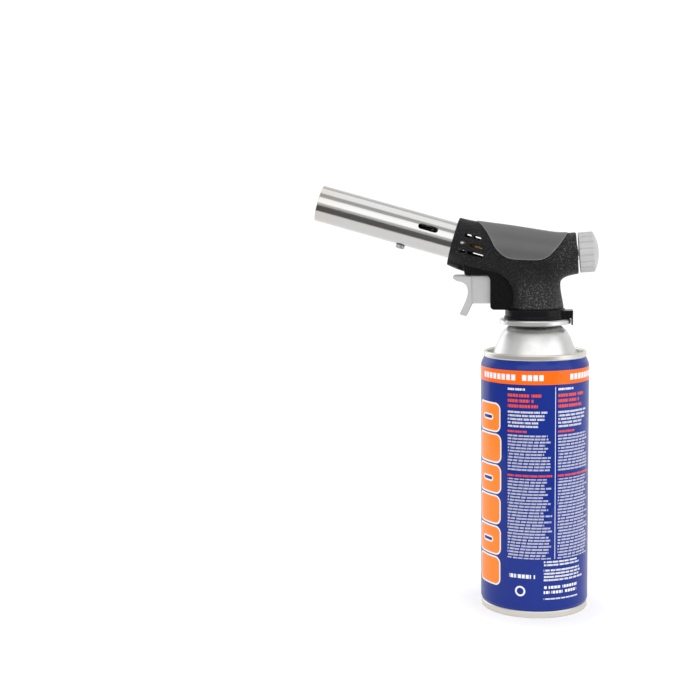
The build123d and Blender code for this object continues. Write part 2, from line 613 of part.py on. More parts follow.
def gas_pipe():
    """Brass pipe from the valve block to the jet holder, bent where the valve's axis crosses the burner's."""
    valve, face = Vector(*VALVE_ORIGIN), Vector(*BURNER_FACE)
    reach = (face - valve).cross(BURNER_AXIS).Y / VALVE_AXIS.cross(BURNER_AXIS).Y
    route = FilletPolyline(
        valve - VALVE_AXIS * 6.1, valve + VALVE_AXIS * reach, face - BURNER_AXIS * 9.1, radius=12)
    return pipe(route, 2.4) - pipe(route, 1.4)


def electrode_insulator():
    return rod(1.45, 0, 55.5, Plane(origin=electrode_spot(ELECTRODE_BACK), z_dir=BURNER_AXIS))


def electrode_wire():
    route = FilletPolyline(electrode_spot(46.52), electrode_spot(62.5), electrode_spot(65.0, 4.5), radius=1.5)
    return pipe(route, 0.5)


def tube_ring():
    return ring(11.75, TUBE_R + 0.02, -5.6, -2.55, BURNER)


# ---------------------------------------------------------------- every piece, by the name of its file
def pieces():
    whole = housing()
    near = box((-80, 60), (-30, 0), (150, 270))
    far = box((-80, 60), (0, 30), (150, 270))
    return {
        "cartridge_body": cartridge_body(),
        "cartridge_bottom": cartridge_bottom(),
        "cartridge_top": cartridge_top(),
        "cartridge_collar": cartridge_collar(),
        "cartridge_valve_cup": valve_cup(),
        "cartridge_valve_housing": can_valve_housing(),
        "cartridge_valve_gasket": ring(4.4, STEM_R + 0.05, 172.85, 173.95),
        "cartridge_valve_stem": can_valve_stem(),
        "cartridge_valve_spring": coil(2.2, 0.3, 161.5, 169.55, 5),
        "cartridge_vapour_tube": vapour_tube(),
        "housing_left": whole & near,
        "housing_right": whole & far,
        "housing_screws": housing_screws(),
        "top_cover": top_cover(),
        "base_ring": base_ring(),
        "bayonet_insert": bayonet_insert(),
        "inlet_nozzle": inlet_nozzle(),
        "inlet_gasket": ring(5.0, 2.05, 174.45, 176.38),
        "inlet_filter": rod(2.05, 181.05, 184.5),
        "valve_block": valve_block(),
        "gland_nut": gland_nut(),
        "gland_o_ring": VALVE * Pos(0, 0, 17.0) * Torus(2.75, 0.6),
        "spindle_bush": spindle_bush(),
        "valve_needle": valve_needle(),
        "valve_spindle": valve_spindle(),
        "knob": knob(),
        "gas_pipe": gas_pipe(),
        "jet_holder": jet_holder(),
        "gas_jet": gas_jet(),
        "mixing_tube": mixing_tube(),
        "support_ring": support_ring(),
        "burner_head": burner_head(),
        "flame_tube": flame_tube(),
        "tube_ring": tube_ring(),
        "burner_screw": burner_screw(),
        "electrode_insulator": electrode_insulator(),
        "electrode_wire": electrode_wire(),
        "ignition_cable": ignition_cable(),
        "piezo_body": piezo_body(),
        "piezo_plunger": piezo_plunger(),
        "trigger_spring": trigger_spring(),
        "trigger": trigger(),
    }


def main():
    os.makedirs(OUT, exist_ok=True)
    for name, shape in pieces().items():
        export_step(shape, f"{OUT}/{name}.step")


main()
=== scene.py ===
"""Butane torch: the visible pieces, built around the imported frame.

Shapes are worked out in millimetres, in the frame's own axes, and become meshes in metres. The outside of
the torch head is made of distance fields: a field is negative inside the solid, and a net of quads is drawn
over its zero surface.
"""

import json
from math import ceil, cos, pi, radians, sin, tau

import bmesh
import bpy
import numpy as np
from mathutils import Matrix, Vector


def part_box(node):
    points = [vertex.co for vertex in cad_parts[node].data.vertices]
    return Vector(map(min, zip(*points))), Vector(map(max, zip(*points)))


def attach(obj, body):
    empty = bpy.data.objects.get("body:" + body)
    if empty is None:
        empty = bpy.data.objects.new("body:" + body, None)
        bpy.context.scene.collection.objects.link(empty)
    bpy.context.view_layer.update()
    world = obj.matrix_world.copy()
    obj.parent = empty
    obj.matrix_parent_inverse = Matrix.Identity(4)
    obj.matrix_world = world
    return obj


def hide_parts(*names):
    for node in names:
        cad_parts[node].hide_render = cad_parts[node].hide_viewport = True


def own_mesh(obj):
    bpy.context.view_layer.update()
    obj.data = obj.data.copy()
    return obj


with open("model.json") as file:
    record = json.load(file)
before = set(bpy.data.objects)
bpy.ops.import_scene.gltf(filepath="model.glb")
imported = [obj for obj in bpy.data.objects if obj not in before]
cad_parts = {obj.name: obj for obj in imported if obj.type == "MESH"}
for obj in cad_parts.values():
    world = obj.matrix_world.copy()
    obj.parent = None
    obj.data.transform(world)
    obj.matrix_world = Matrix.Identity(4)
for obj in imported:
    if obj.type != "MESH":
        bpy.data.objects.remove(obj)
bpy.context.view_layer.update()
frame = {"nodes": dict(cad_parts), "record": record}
RECORD = frame["record"]
MM = 0.001

# ---------------------------------------------------------------- places and sizes, in mm
JOINTS = {joint["name"]: joint for joint in RECORD["behaviour"]["joints"]}


def size(node, corner, axis):
    """One coordinate of a node's box: corner 0 is the lowest, 1 the highest; axis is 0, 1 or 2."""
    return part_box(node)[corner][axis] / MM


CAN_R = size("cartridge_body", 1, 0)
CAN_LOW = size("cartridge_body", 0, 2)
CAN_HIGH = size("cartridge_body", 1, 2)
COLLAR_R = size("cartridge_collar", 1, 1)
COLLAR_TOP = size("cartridge_collar", 1, 2)
COLLAR_LOW = 176.0
SEAM_TOP = 159.6
SHEET = 0.4  # thickness of the can's sheet metal
RING_LOW = COLLAR_TOP + 0.2
RING_TOP = RING_LOW + 6.1

TUBE_R = 11.2
TUBE_WALL = 0.6
BURNER_TILT = radians(16)
BURNER = (np.array((-49.8, 0.0, 226.8)), np.array((-cos(BURNER_TILT), 0.0, sin(BURNER_TILT))))
BURNER_UP = np.array((sin(BURNER_TILT), 0.0, cos(BURNER_TILT)))
VALVE = (np.array(JOINTS["knob_turn"]["pos_m"]) / MM, np.array(JOINTS["knob_turn"]["axis"]))
UPRIGHT = (np.zeros(3), np.array((0.0, 0.0, 1.0)))

TUBE_FRONT = 86.0  # along the burner's axis, as are the next three
TUBE_BACK = -7.0
TUBE_SLOT_S = 16.3
TUBE_SCREW_S = 30.7
REAR_S = 25.4  # along the valve's axis, as are the next two
KNOB_S = 26.5
HUB_END = 34.0
KNOB_R = 12.3
KNOB_LONG = 8.8
KNOB_GROOVES = 18
GLAND_HOLE_R = 4.6
THROAT_R = 15.2  # opening under the neck
LIP_Z = 206.1  # underside of the lip over the trigger
WALL_X = -27.0  # front of the wall that the trigger slides into
WEB_HALF = 9.2
WEB_FOOT_Z = 184.9
TRIGGER_TOP_Z = 205.7
TRIGGER_HALF = 6.2
TRIGGER_TRAVEL = 7.0
TRIGGER_SPRING_X = (-35.5, -24.1)  # at the finger plate and at the piezo unit
PIEZO_Z = 196.0
STEM_TRAVEL = 0.8
STEM_SPRING_Z = (161.5, 169.55)
SHELL_WALL = 2.2
COVER_WALL = 1.5
COVER_PROUD = 0.5
SCREW_SPOTS = [(-36.0, 209.3), (14.5, 208.6), (10.8, 195.0), (-22.0, 230.2)]
SCREW_SEAT_Y = 6.0
SCREW_HEAD_R = 2.2
SCREW_POST_R = 3.2


# ---------------------------------------------------------------- distance fields
def along(p, line):
    """Distance of the points p = (x, y, z) along a line from its origin."""
    origin, axis = line
    return sum((c - o) * a for c, o, a in zip(p, origin, axis))


def away(p, line):
    """Distance of the points from a line."""
    origin, _ = line
    square = sum((c - o) ** 2 for c, o in zip(p, origin))
    return np.sqrt(np.maximum(square - along(p, line) ** 2, 0.0))


def join(a, b, k=0.4):
    """Union of two fields, with a fillet about k wide."""
    h = np.clip(0.5 + 0.5 * (b - a) / k, 0.0, 1.0)
    return b + (a - b) * h - k * h * (1.0 - h)


def meet(a, b, k=0.4):
    """Intersection of two fields, with its edge rounded."""
    return -join(-a, -b, k)


def cut(a, b, k=0.4):
    """Field a without b, with its edge rounded."""
    return -join(-a, b, k)


def between(value, low, high):
    """Field that is negative where the value lies between low and high."""
    return np.maximum(low - value, value - high)


def rod(p, line, radius, low, high):
    """Round rod along a line, from low to high."""
    return meet(away(p, line) - radius, between(along(p, line), low, high), 0.3)


def brick(p, low, high, rounding=0.3):
    """Box with rounded edges."""
    q = [np.abs(c - (a + b) / 2) - (b - a) / 2 + rounding for c, a, b in zip(p, low, high)]
    outside = np.sqrt(sum(np.maximum(c, 0.0) ** 2 for c in q))
    inside = np.minimum(np.maximum(np.maximum(q[0], q[1]), q[2]), 0.0)
    return outside + inside - rounding


def rounded(points, steps=6):
    """Closed outline from corners (a, b, radius): each corner with a radius becomes an arc."""
    made = []
    for i, (a, b, radius) in enumerate(points):
        here = np.array((a, b), float)
        back = np.array(points[i - 1][:2], float) - here
        ahead = np.array(points[(i + 1) % len(points)][:2], float) - here
        back, ahead = back / np.linalg.norm(back), ahead / np.linalg.norm(ahead)
        half = np.arccos(np.clip(back @ ahead, -1.0, 1.0)) / 2
        if radius == 0 or half > pi / 2 - 0.01:
            made.append(here)
            continue
        middle = back + ahead
        centre = here + middle / np.linalg.norm(middle) * radius / sin(half)
        first = here + back * radius / np.tan(half) - centre
        last = here + ahead * radius / np.tan(half) - centre
        turn = pi - 2 * half
        for t in np.linspace(0, 1, steps + 1):
            made.append(centre + (first * sin(turn * (1 - t)) + last * sin(turn * t)) / sin(turn))
    return np.array(made)


def smooth_line(points, steps=6):
    """Catmull-Rom curve through the points."""
    pts = np.array(points, float)
    pts = np.vstack([2 * pts[0] - pts[1], pts, 2 * pts[-1] - pts[-2]])
    made = []
    for a, b, c, d in zip(pts, pts[1:], pts[2:], pts[3:]):
        for t in np.arange(steps) / steps:
            made.append(0.5 * (2 * b + (c - a) * t + (2 * a - 5 * b + 4 * c - d) * t**2
                               + (3 * b - a - 3 * c + d) * t**3))
    return np.array(made + [pts[-2]])


def outline_field(u, v, points):
    """Signed distance from a closed flat outline."""
    nearest = np.full(np.broadcast(u, v).shape, np.inf)
    odd = np.zeros(nearest.shape, bool)
    for (ax, ay), (bx, by) in zip(points, np.roll(points, -1, axis=0)):
        ex, ey = bx - ax, by - ay
        t = np.clip(((u - ax) * ex + (v - ay) * ey) / (ex * ex + ey * ey + 1e-12), 0.0, 1.0)
        nearest = np.minimum(nearest, (u - ax - ex * t) ** 2 + (v - ay - ey * t) ** 2)
        if ay != by:
            odd ^= ((ay > v) != (by > v)) & (u < ax + ex * (v - ay) / ey)
    return np.where(odd, -1.0, 1.0) * np.sqrt(nearest)


# ---------------------------------------------------------------- meshes
def make_object(name, points, faces, normals=None):
    """Mesh object from points in mm, smooth, with the given vertex normals."""
    mesh = bpy.data.meshes.new(name)
    if isinstance(faces, np.ndarray):
        faces = faces.tolist()
    mesh.from_pydata((np.asarray(points) * MM).tolist(), [], faces)
    mesh.shade_smooth()
    if normals is not None:
        mesh.normals_split_custom_set_from_vertices(normals.tolist())
    obj = bpy.data.objects.new(name, mesh)
    bpy.context.collection.objects.link(obj)
    return obj


def net(name, field, low, high, step):
    """Net of quads over a field's zero surface, one point in each grid cell that the surface crosses."""
    axes = [a + step * np.arange(ceil((b - a) / step) + 1) for a, b in zip(low, high)]
    grid = np.ascontiguousarray(np.broadcast_to(field(np.ix_(*axes)), [len(a) for a in axes]))
    solid = grid < 0
    corners = np.array([(i, j, k) for i in (0, 1) for j in (0, 1) for k in (0, 1)])
    shape = np.array(grid.shape) - 1
    filled = sum(solid[i:shape[0] + i, j:shape[1] + j, k:shape[2] + k].astype(np.int8) for i, j, k in corners)
    cells = np.argwhere((filled > 0) & (filled < 8))
    number = np.full(shape, -1)
    number[tuple(cells.T)] = np.arange(len(cells))

    value = np.array([grid[tuple((cells + c).T)] for c in corners])
    total, hits = np.zeros((len(cells), 3)), np.zeros(len(cells))
    for a in range(8):
        for b in range(a + 1, 8):
            if np.abs(corners[a] - corners[b]).sum() != 1:
                continue
            crossed = (value[a] < 0) != (value[b] < 0)
            t = value[a][crossed] / (value[a][crossed] - value[b][crossed])
            total[crossed] += corners[a] + t[:, None] * (corners[b] - corners[a])
            hits[crossed] += 1
    points = np.array(low) + (cells + total / hits[:, None]) * step

    faces = []
    for axis in range(3):
        u, v = np.eye(3, dtype=int)[(axis + 1) % 3], np.eye(3, dtype=int)[(axis + 2) % 3]
        lower = np.take(solid, range(shape[axis]), axis)
        upper = np.take(solid, range(1, shape[axis] + 1), axis)
        for leaving in (True, False):
            edges = np.argwhere((lower & ~upper) if leaving else (~lower & upper))
            inner = (edges @ u > 0) & (edges @ u < shape @ u) & (edges @ v > 0) & (edges @ v < shape @ v)
            edges = edges[inner]
            ring = [number[tuple((edges - d).T)] for d in (u + v, v, 0 * u, u)]
            faces.append(np.stack(ring if leaving else ring[::-1], 1))
    faces = np.vstack(faces)

    def normal(at):
        reach = 0.08
        slope = []
        for shift in np.eye(3) * reach:
            slope.append(field(tuple((at + shift).T)) - field(tuple((at - shift).T)))
        slope = np.array(slope).T
        return slope / (np.linalg.norm(slope, axis=1)[:, None] + 1e-9)

    for _ in range(3):
        gap = np.clip(field(tuple(points.T)), -0.35 * step, 0.35 * step)
        points = points - normal(points) * gap[:, None]
    return make_object(name, points, faces, normal(points))


def basis(line, near=None):
    """Two directions square to a line, and its own. The first is as close as it can be to near, +Z or +X."""
    axis = np.array(line[1], float)
    if near is None:
        near = (0.0, 0.0, 1.0) if abs(axis[2]) < 0.9 else (1.0, 0.0, 0.0)
    near = np.array(near)
    first = near - axis * (near @ axis)
    first = first / np.linalg.norm(first)
    return first, np.cross(axis, first), axis


def held(outline, reach=0.3):
    """Adds a point near both ends of each long stretch, so that it stays flat in its shading."""
    made = []
    for here, ahead in zip(outline, np.roll(outline, -1, axis=0)):
        made.append(here)
        length = np.linalg.norm(ahead - here)
        if length > 4 * reach:
            step = (ahead - here) * reach / length
            made += [here + step, ahead - step]
    return np.array(made)


def lathe(name, profile, line=UPRIGHT, count=192, shape=None, sharp=35):
    """Turns a closed outline of (radius, height) about a line. shape(radius, angle) can change the radius."""
    first, second, axis = basis(line)
    profile = held(np.asarray(profile, float))
    angle = np.arange(count) * tau / count
    radius = np.repeat(profile[None, :, 0], count, 0)
    height = np.repeat(profile[None, :, 1], count, 0)
    if shape is not None:
        radius = shape(radius, angle[:, None])
    out = np.cos(angle)[:, None] * first + np.sin(angle)[:, None] * second
    points = line[0] + radius[..., None] * out[:, None, :] + height[..., None] * axis
    n = len(profile)
    i, j = np.meshgrid(np.arange(count), np.arange(n), indexing="ij")
    here, beside, ahead = i * n, (i + 1) % count * n, (j + 1) % n
    faces = np.stack([here + j, beside + j, beside + ahead, here + ahead], -1)
    area = np.sum(profile[:, 0] * np.roll(profile[:, 1], -1) - np.roll(profile[:, 0], -1) * profile[:, 1])
    faces = faces.reshape(-1, 4)
    if area < 0:
        faces = faces[:, ::-1]
    obj = make_object(name, points.reshape(-1, 3), faces)
    tidy = bmesh.new()
    tidy.from_mesh(obj.data)
    bmesh.ops.remove_doubles(tidy, verts=tidy.verts, dist=1e-7)
    bmesh.ops.dissolve_degenerate(tidy, edges=tidy.edges, dist=1e-7)
    tidy.to_mesh(obj.data)
    tidy.free()
    obj.data.set_sharp_from_angle(angle=radians(sharp))
    return obj


def prism(name, outline, line, low, high, near=None):
    """Solid with a flat outline, along a line. The outline's first axis is the first of the line's basis."""
    first, second, axis = basis(line, near)
    n = len(outline)
    flat = line[0] + np.outer(outline[:, 0], first) + np.outer(outline[:, 1], second)
    points = np.vstack([flat + axis * low, flat + axis * high])
    faces = [list(range(n))[::-1], list(range(n, 2 * n))]
    faces += [[i, (i + 1) % n, n + (i + 1) % n, n + i] for i in range(n)]
    return make_object(name, points, faces)


def carve(obj, *cutters, line=None):
    """Cuts the cutters out of obj. With a line, the faces that wrap round it keep exactly round normals."""
    for cutter in cutters:
        modifier = obj.modifiers.new("cut", "BOOLEAN")
        modifier.solver = "EXACT"
        modifier.object = cutter
    graph = bpy.context.evaluated_depsgraph_get()
    mesh = bpy.data.meshes.new_from_object(obj.evaluated_get(graph), depsgraph=graph)
    obj.modifiers.clear()
    old, obj.data = obj.data, mesh
    bpy.data.meshes.remove(old)
    for cutter in cutters:
        bpy.data.objects.remove(cutter)
    mesh.shade_smooth()
    mesh.set_sharp_from_angle(angle=radians(35))
    if line is None:
        return obj
    origin, axis = line[0] * MM, line[1]
    normals = [corner.vector.copy() for corner in mesh.corner_normals]
    for face in mesh.polygons:
        for index in face.loop_indices:
            spot = np.array(mesh.vertices[mesh.loops[index].vertex_index].co) - origin
            out = spot - axis * (spot @ axis)
            out = Vector(out / np.linalg.norm(out))
            if abs(face.normal.dot(out)) > 0.995:
                normals[index] = out if face.normal.dot(out) > 0 else -out
    mesh.normals_split_custom_set(normals)
    return obj


def stadium(length, width, steps=12):
    """Slot outline: its length runs along the first axis."""
    reach = (length - width) / 2
    turns = np.linspace(-pi / 2, pi / 2, steps)
    right = [(reach + width / 2 * cos(t), width / 2 * sin(t)) for t in turns]
    return np.array(right + [(-a, -b) for a, b in right])


def circle(radius, count=48):
    """Round outline."""
    return np.array([(radius * cos(t), radius * sin(t)) for t in np.arange(count) * tau / count])


# ---------------------------------------------------------------- form of the torch head
def settled(value, places, sizes, spread):
    """Piecewise straight table with its corners rounded over the spread."""
    near = np.linspace(-1, 1, 7)
    return sum(np.interp(value + spread * t, places, sizes) for t in near) / len(near)


def barrel(p):
    """Body that bends from the burner's axis to the valve's and narrows on the way."""
    x, y, z = p
    places = [-60.0, -40.2, -14.0, 15.0, 40.0]
    middle = settled(x, places, [230.6, 224.9, 222.2, 218.1, 220.0], 6)
    radius = settled(x, places, [14.0, 14.0, 13.3, 12.6, 12.6], 6)
    slope = settled(x, places, [0.287, 0.22, 0.10, 0.04, 0.077], 6)
    return np.sqrt(y**2 + (z - middle) ** 2 / (1 + slope**2)) - radius


def neck(p):
    """Neck under the barrel: ellipses that run forward and back into the barrel's underside."""
    x, y, z = p
    heights = [180.0, 185.6, 190.0, 195.0, 199.5, 203.0, 206.0, 209.5, 213.5, 218.0]
    rear = settled(z, heights, [17.4, 17.4, 16.7, 15.7, 15.2, 15.6, 17.6, 19.6, 19.5, 16.0], 1.5)
    front = settled(z, heights, [17.4, 17.4, 17.6, 19.5, 24.0, 30.0, 37.0, 48.0, 54.0, 48.0], 1.5)
    half = settled(z, heights, [17.4, 17.4, 16.5, 15.3, 14.2, 13.3, 12.3, 11.2, 9.4, 6.0], 1.5)
    reach = (rear + front) / 2
    centre = (rear - front) / 2
    flat = np.sqrt(((x - centre) / reach) ** 2 + (y / half) ** 2)
    return np.maximum((flat - 1.0) * np.minimum(reach, half), z - heights[-1])


LEDGE = np.vstack([
    [(-70.0, 190.0), (-44.0, 206.0)],
    smooth_line([(-38.0, 209.4), (-33.0, 210.6), (-28.5, 210.0), (-25.0, 208.9), (-21.6, 207.2),
                 (-18.3, 204.7), (-15.9, 202.0), (-14.2, 199.0), (-13.2, 195.4), (-13.2, 191.5),
                 (-13.8, 187.8), (-15.0, 184.2)], 4),
    [(-16.0, 170.0), (60.0, 170.0), (60.0, 260.0), (-70.0, 260.0)],
])


def body(p):
    """Barrel and neck run together, with square ends and a ledge where they stand over the web."""
    form = meet(join(barrel(p), neck(p), 5.0), outline_field(p[0], p[2], LEDGE) + 0 * p[1], 1.1)
    form = meet(form, along(p, BURNER), 0.7)
    form = meet(form, along(p, VALVE) - REAR_S, 0.9)
    return meet(form, RING_TOP + 0.2 - p[2], 0.5)


WEB = rounded([
    (-43.9, 216.0, 0), (-42.5, LIP_Z, 0.9), (WALL_X, LIP_Z, 3.4), (WALL_X, WEB_FOOT_Z, 2.4),
    (-13.0, WEB_FOOT_Z, 0), (-6.0, 194.0, 0), (-6.0, 216.0, 0),
])


def web(p):
    """Flat web under the barrel's front: a lip over the trigger and the wall that it slides into."""
    x, y, z = p
    return meet(outline_field(x, z, WEB), np.abs(y) - WEB_HALF, 0.9)


def skin(p):
    """Outside of the housing, without its openings."""
    return join(body(p), web(p), 0.5)


COVER = np.vstack([
    smooth_line([(-38.9, 241.0), (-35.6, 239.0), (-32.6, 236.6), (-30.4, 234.0), (-28.3, 231.0),
                 (-26.6, 228.0), (-24.8, 224.2), (-22.0, 220.6), (-18.4, 217.5), (-14.5, 215.9),
                 (-8.5, 215.3), (1.3, 215.1), (4.6, 215.7), (7.4, 217.0), (10.2, 219.3),
                 (13.1, 222.5), (16.2, 226.4), (20.0, 232.0)], 4),
    [(20.0, 250.0), (-38.9, 250.0)],
])


def cover_region(p):
    """Outline of the saddle cover, seen from the side."""
    return outline_field(p[0], p[2], COVER) + 0 * p[1]


# Each row of slots: its height over the burner's axis, its near end and its far end.
VENT_ROWS = [(5.9, 6.2, 16.6), (1.0, 4.8, 19.4), (-3.9, 4.8, 20.6)]
VENT_SHORT, VENT_BRIDGE, VENT_WIDTH = 4.4, 1.3, 1.9


def vents(p):
    """Three rows of a short and a long slot, through both sides."""
    back = -along(p, BURNER)
    up = sum((c - o) * a for c, o, a in zip(p, BURNER[0], BURNER_UP))
    made = np.full(np.broadcast(*p).shape, 9.0)
    for height, start, stop in VENT_ROWS:
        for first, last in ((start, start + VENT_SHORT), (start + VENT_SHORT + VENT_BRIDGE, stop)):
            reach = (last - first - VENT_WIDTH) / 2
            along_slot = np.maximum(np.abs(back - (first + last) / 2) - reach, 0.0)
            made = np.minimum(made, np.sqrt(along_slot**2 + (up - height) ** 2) - VENT_WIDTH / 2)
    return made


def across(spot):
    """Line along +Y through a place (x, z)."""
    return np.array((spot[0], 0.0, spot[1])), np.array((0.0, 1.0, 0.0))


def housing(p):
    """Shell of both halves, with its screw posts and its openings."""
    outer = skin(p)
    shell = cut(outer, outer + SHELL_WALL, 0.2)
    for spot in SCREW_SPOTS:
        shell = np.minimum(shell, np.maximum(away(p, across(spot)) - SCREW_POST_R, outer + 0.3))
    for spot in SCREW_SPOTS:
        shell = cut(shell, rod(p, across(spot), SCREW_HEAD_R + 0.15, SCREW_SEAT_Y, 40.0), 0.35)
    shell = cut(shell, rod(p, BURNER, TUBE_R + 0.12, -8.0, 5.0), 0.5)
    shell = cut(shell, rod(p, VALVE, GLAND_HOLE_R, 20.0, 30.0), 0.4)
    half = TRIGGER_HALF + 0.25
    slide = brick(p, (WALL_X - 9, -half, 188.2), (-13.0, half, LIP_Z - 0.02), 0.2)
    shell = cut(shell, slide, 0.3)
    shell = cut(shell, rod(p, UPRIGHT, THROAT_R, 180.0, 188.0), 0.3)
    recess = meet(cover_region(p) - 0.12, -(body(p) + COVER_WALL - COVER_PROUD + 0.05), 0.1)
    shell = cut(shell, recess, 0.25)
    return cut(shell, vents(p), 0.3)


def top_cover(p):
    """Saddle cover: a skin of even thickness that stands a little proud of the housing."""
    middle = body(p) + COVER_WALL / 2 - COVER_PROUD
    return meet(np.abs(middle) - COVER_WALL / 2, cover_region(p), 0.55)


TRIGGER_PLATE = np.vstack([
    rounded([(-49.9, TRIGGER_TOP_Z, 0.5), (-38.4, TRIGGER_TOP_Z, 0), (-38.0, 188.4, 0.8),
             (-41.6, 180.8, 0.7), (-45.9, 181.9, 0.7), (-44.6, 184.6, 0)]),
    smooth_line([(-43.3, 187.4), (-41.8, 190.9), (-40.9, 194.0), (-40.8, 197.0), (-41.8, 199.8),
                 (-44.2, 201.6), (-47.6, 202.4)]),
    [(-49.8, 203.9)],
])


def trigger(p):
    """Finger plate with a hollow block behind it, which slides in the housing."""
    x, y, z = p
    plate = outline_field(x, z, TRIGGER_PLATE)
    plate = meet(plate, np.abs(y) - TRIGGER_HALF - 1.3, 1.2)
    block = brick(p, (-39.5, -TRIGGER_HALF, 188.6), (-20.0, TRIGGER_HALF, TRIGGER_TOP_Z - 0.1), 0.5)
    pocket = brick(p, (-35.6, -5.1, 190.9), (-10.0, 5.1, 201.1), 0.3)
    return cut(join(plate, block, 0.8), pocket, 0.2)


RING = rounded([
    (18.8, RING_LOW, 0.25), (18.8, RING_LOW + 1.2, 0.35), (18.2, RING_LOW + 1.7, 0.2),
    (18.2, RING_TOP, 0.6), (15.0, RING_TOP, 0), (15.0, 187.8, 0), (10.45, 187.8, 0), (10.45, RING_LOW, 0),
])


def base_ring(p):
    """Ring under the neck, with the catch that reaches down past the collar's rim."""
    x, y, z = p
    ring = outline_field(np.sqrt(x**2 + y**2), z, RING)
    catch = brick(p, (16.0, -6.0, RING_LOW + 0.15), (22.9, 6.0, 184.2), 0.45)
    hook = brick(p, (22.0, -6.0, 175.3), (22.9, 6.0, 184.0), 0.3)
    return join(ring, join(catch, hook, 0.3), 0.5)


# ---------------------------------------------------------------- materials
def operator(kind, swap=False):
    """Makes a method of Value that puts it, with the other operands, into a maths node of this kind."""
    def method(value, *others):
        values = (*others, value) if swap else (value, *others)
        return value.shader.math(kind, *values)

    return method


class Value:
    """A shader socket that takes part in sums and comparisons."""

    def __init__(self, shader, socket):
        self.shader, self.socket = shader, socket

    __add__ = __radd__ = operator("ADD")
    __sub__ = operator("SUBTRACT")
    __rsub__ = operator("SUBTRACT", swap=True)
    __mul__ = __rmul__ = operator("MULTIPLY")
    __truediv__ = operator("DIVIDE")
    __lt__ = operator("LESS_THAN")
    __gt__ = operator("GREATER_THAN")
    __abs__ = operator("ABSOLUTE")
    floor = operator("FLOOR")
    fract = operator("FRACT")
    maximum = operator("MAXIMUM")
    minimum = operator("MINIMUM")

    def inside(self, low, high):
        """1 between low and high, else 0."""
        return (self > low) * (self < high)

    def ramp(self, low, high, first=0.0, last=1.0):
        """Runs smoothly from first at low to last at high."""
        node = self.shader.node("ShaderNodeMapRange", {0: self, 1: low, 2: high, 3: first, 4: last})
        node.interpolation_type = "SMOOTHSTEP"
        return Value(self.shader, node.outputs[0])


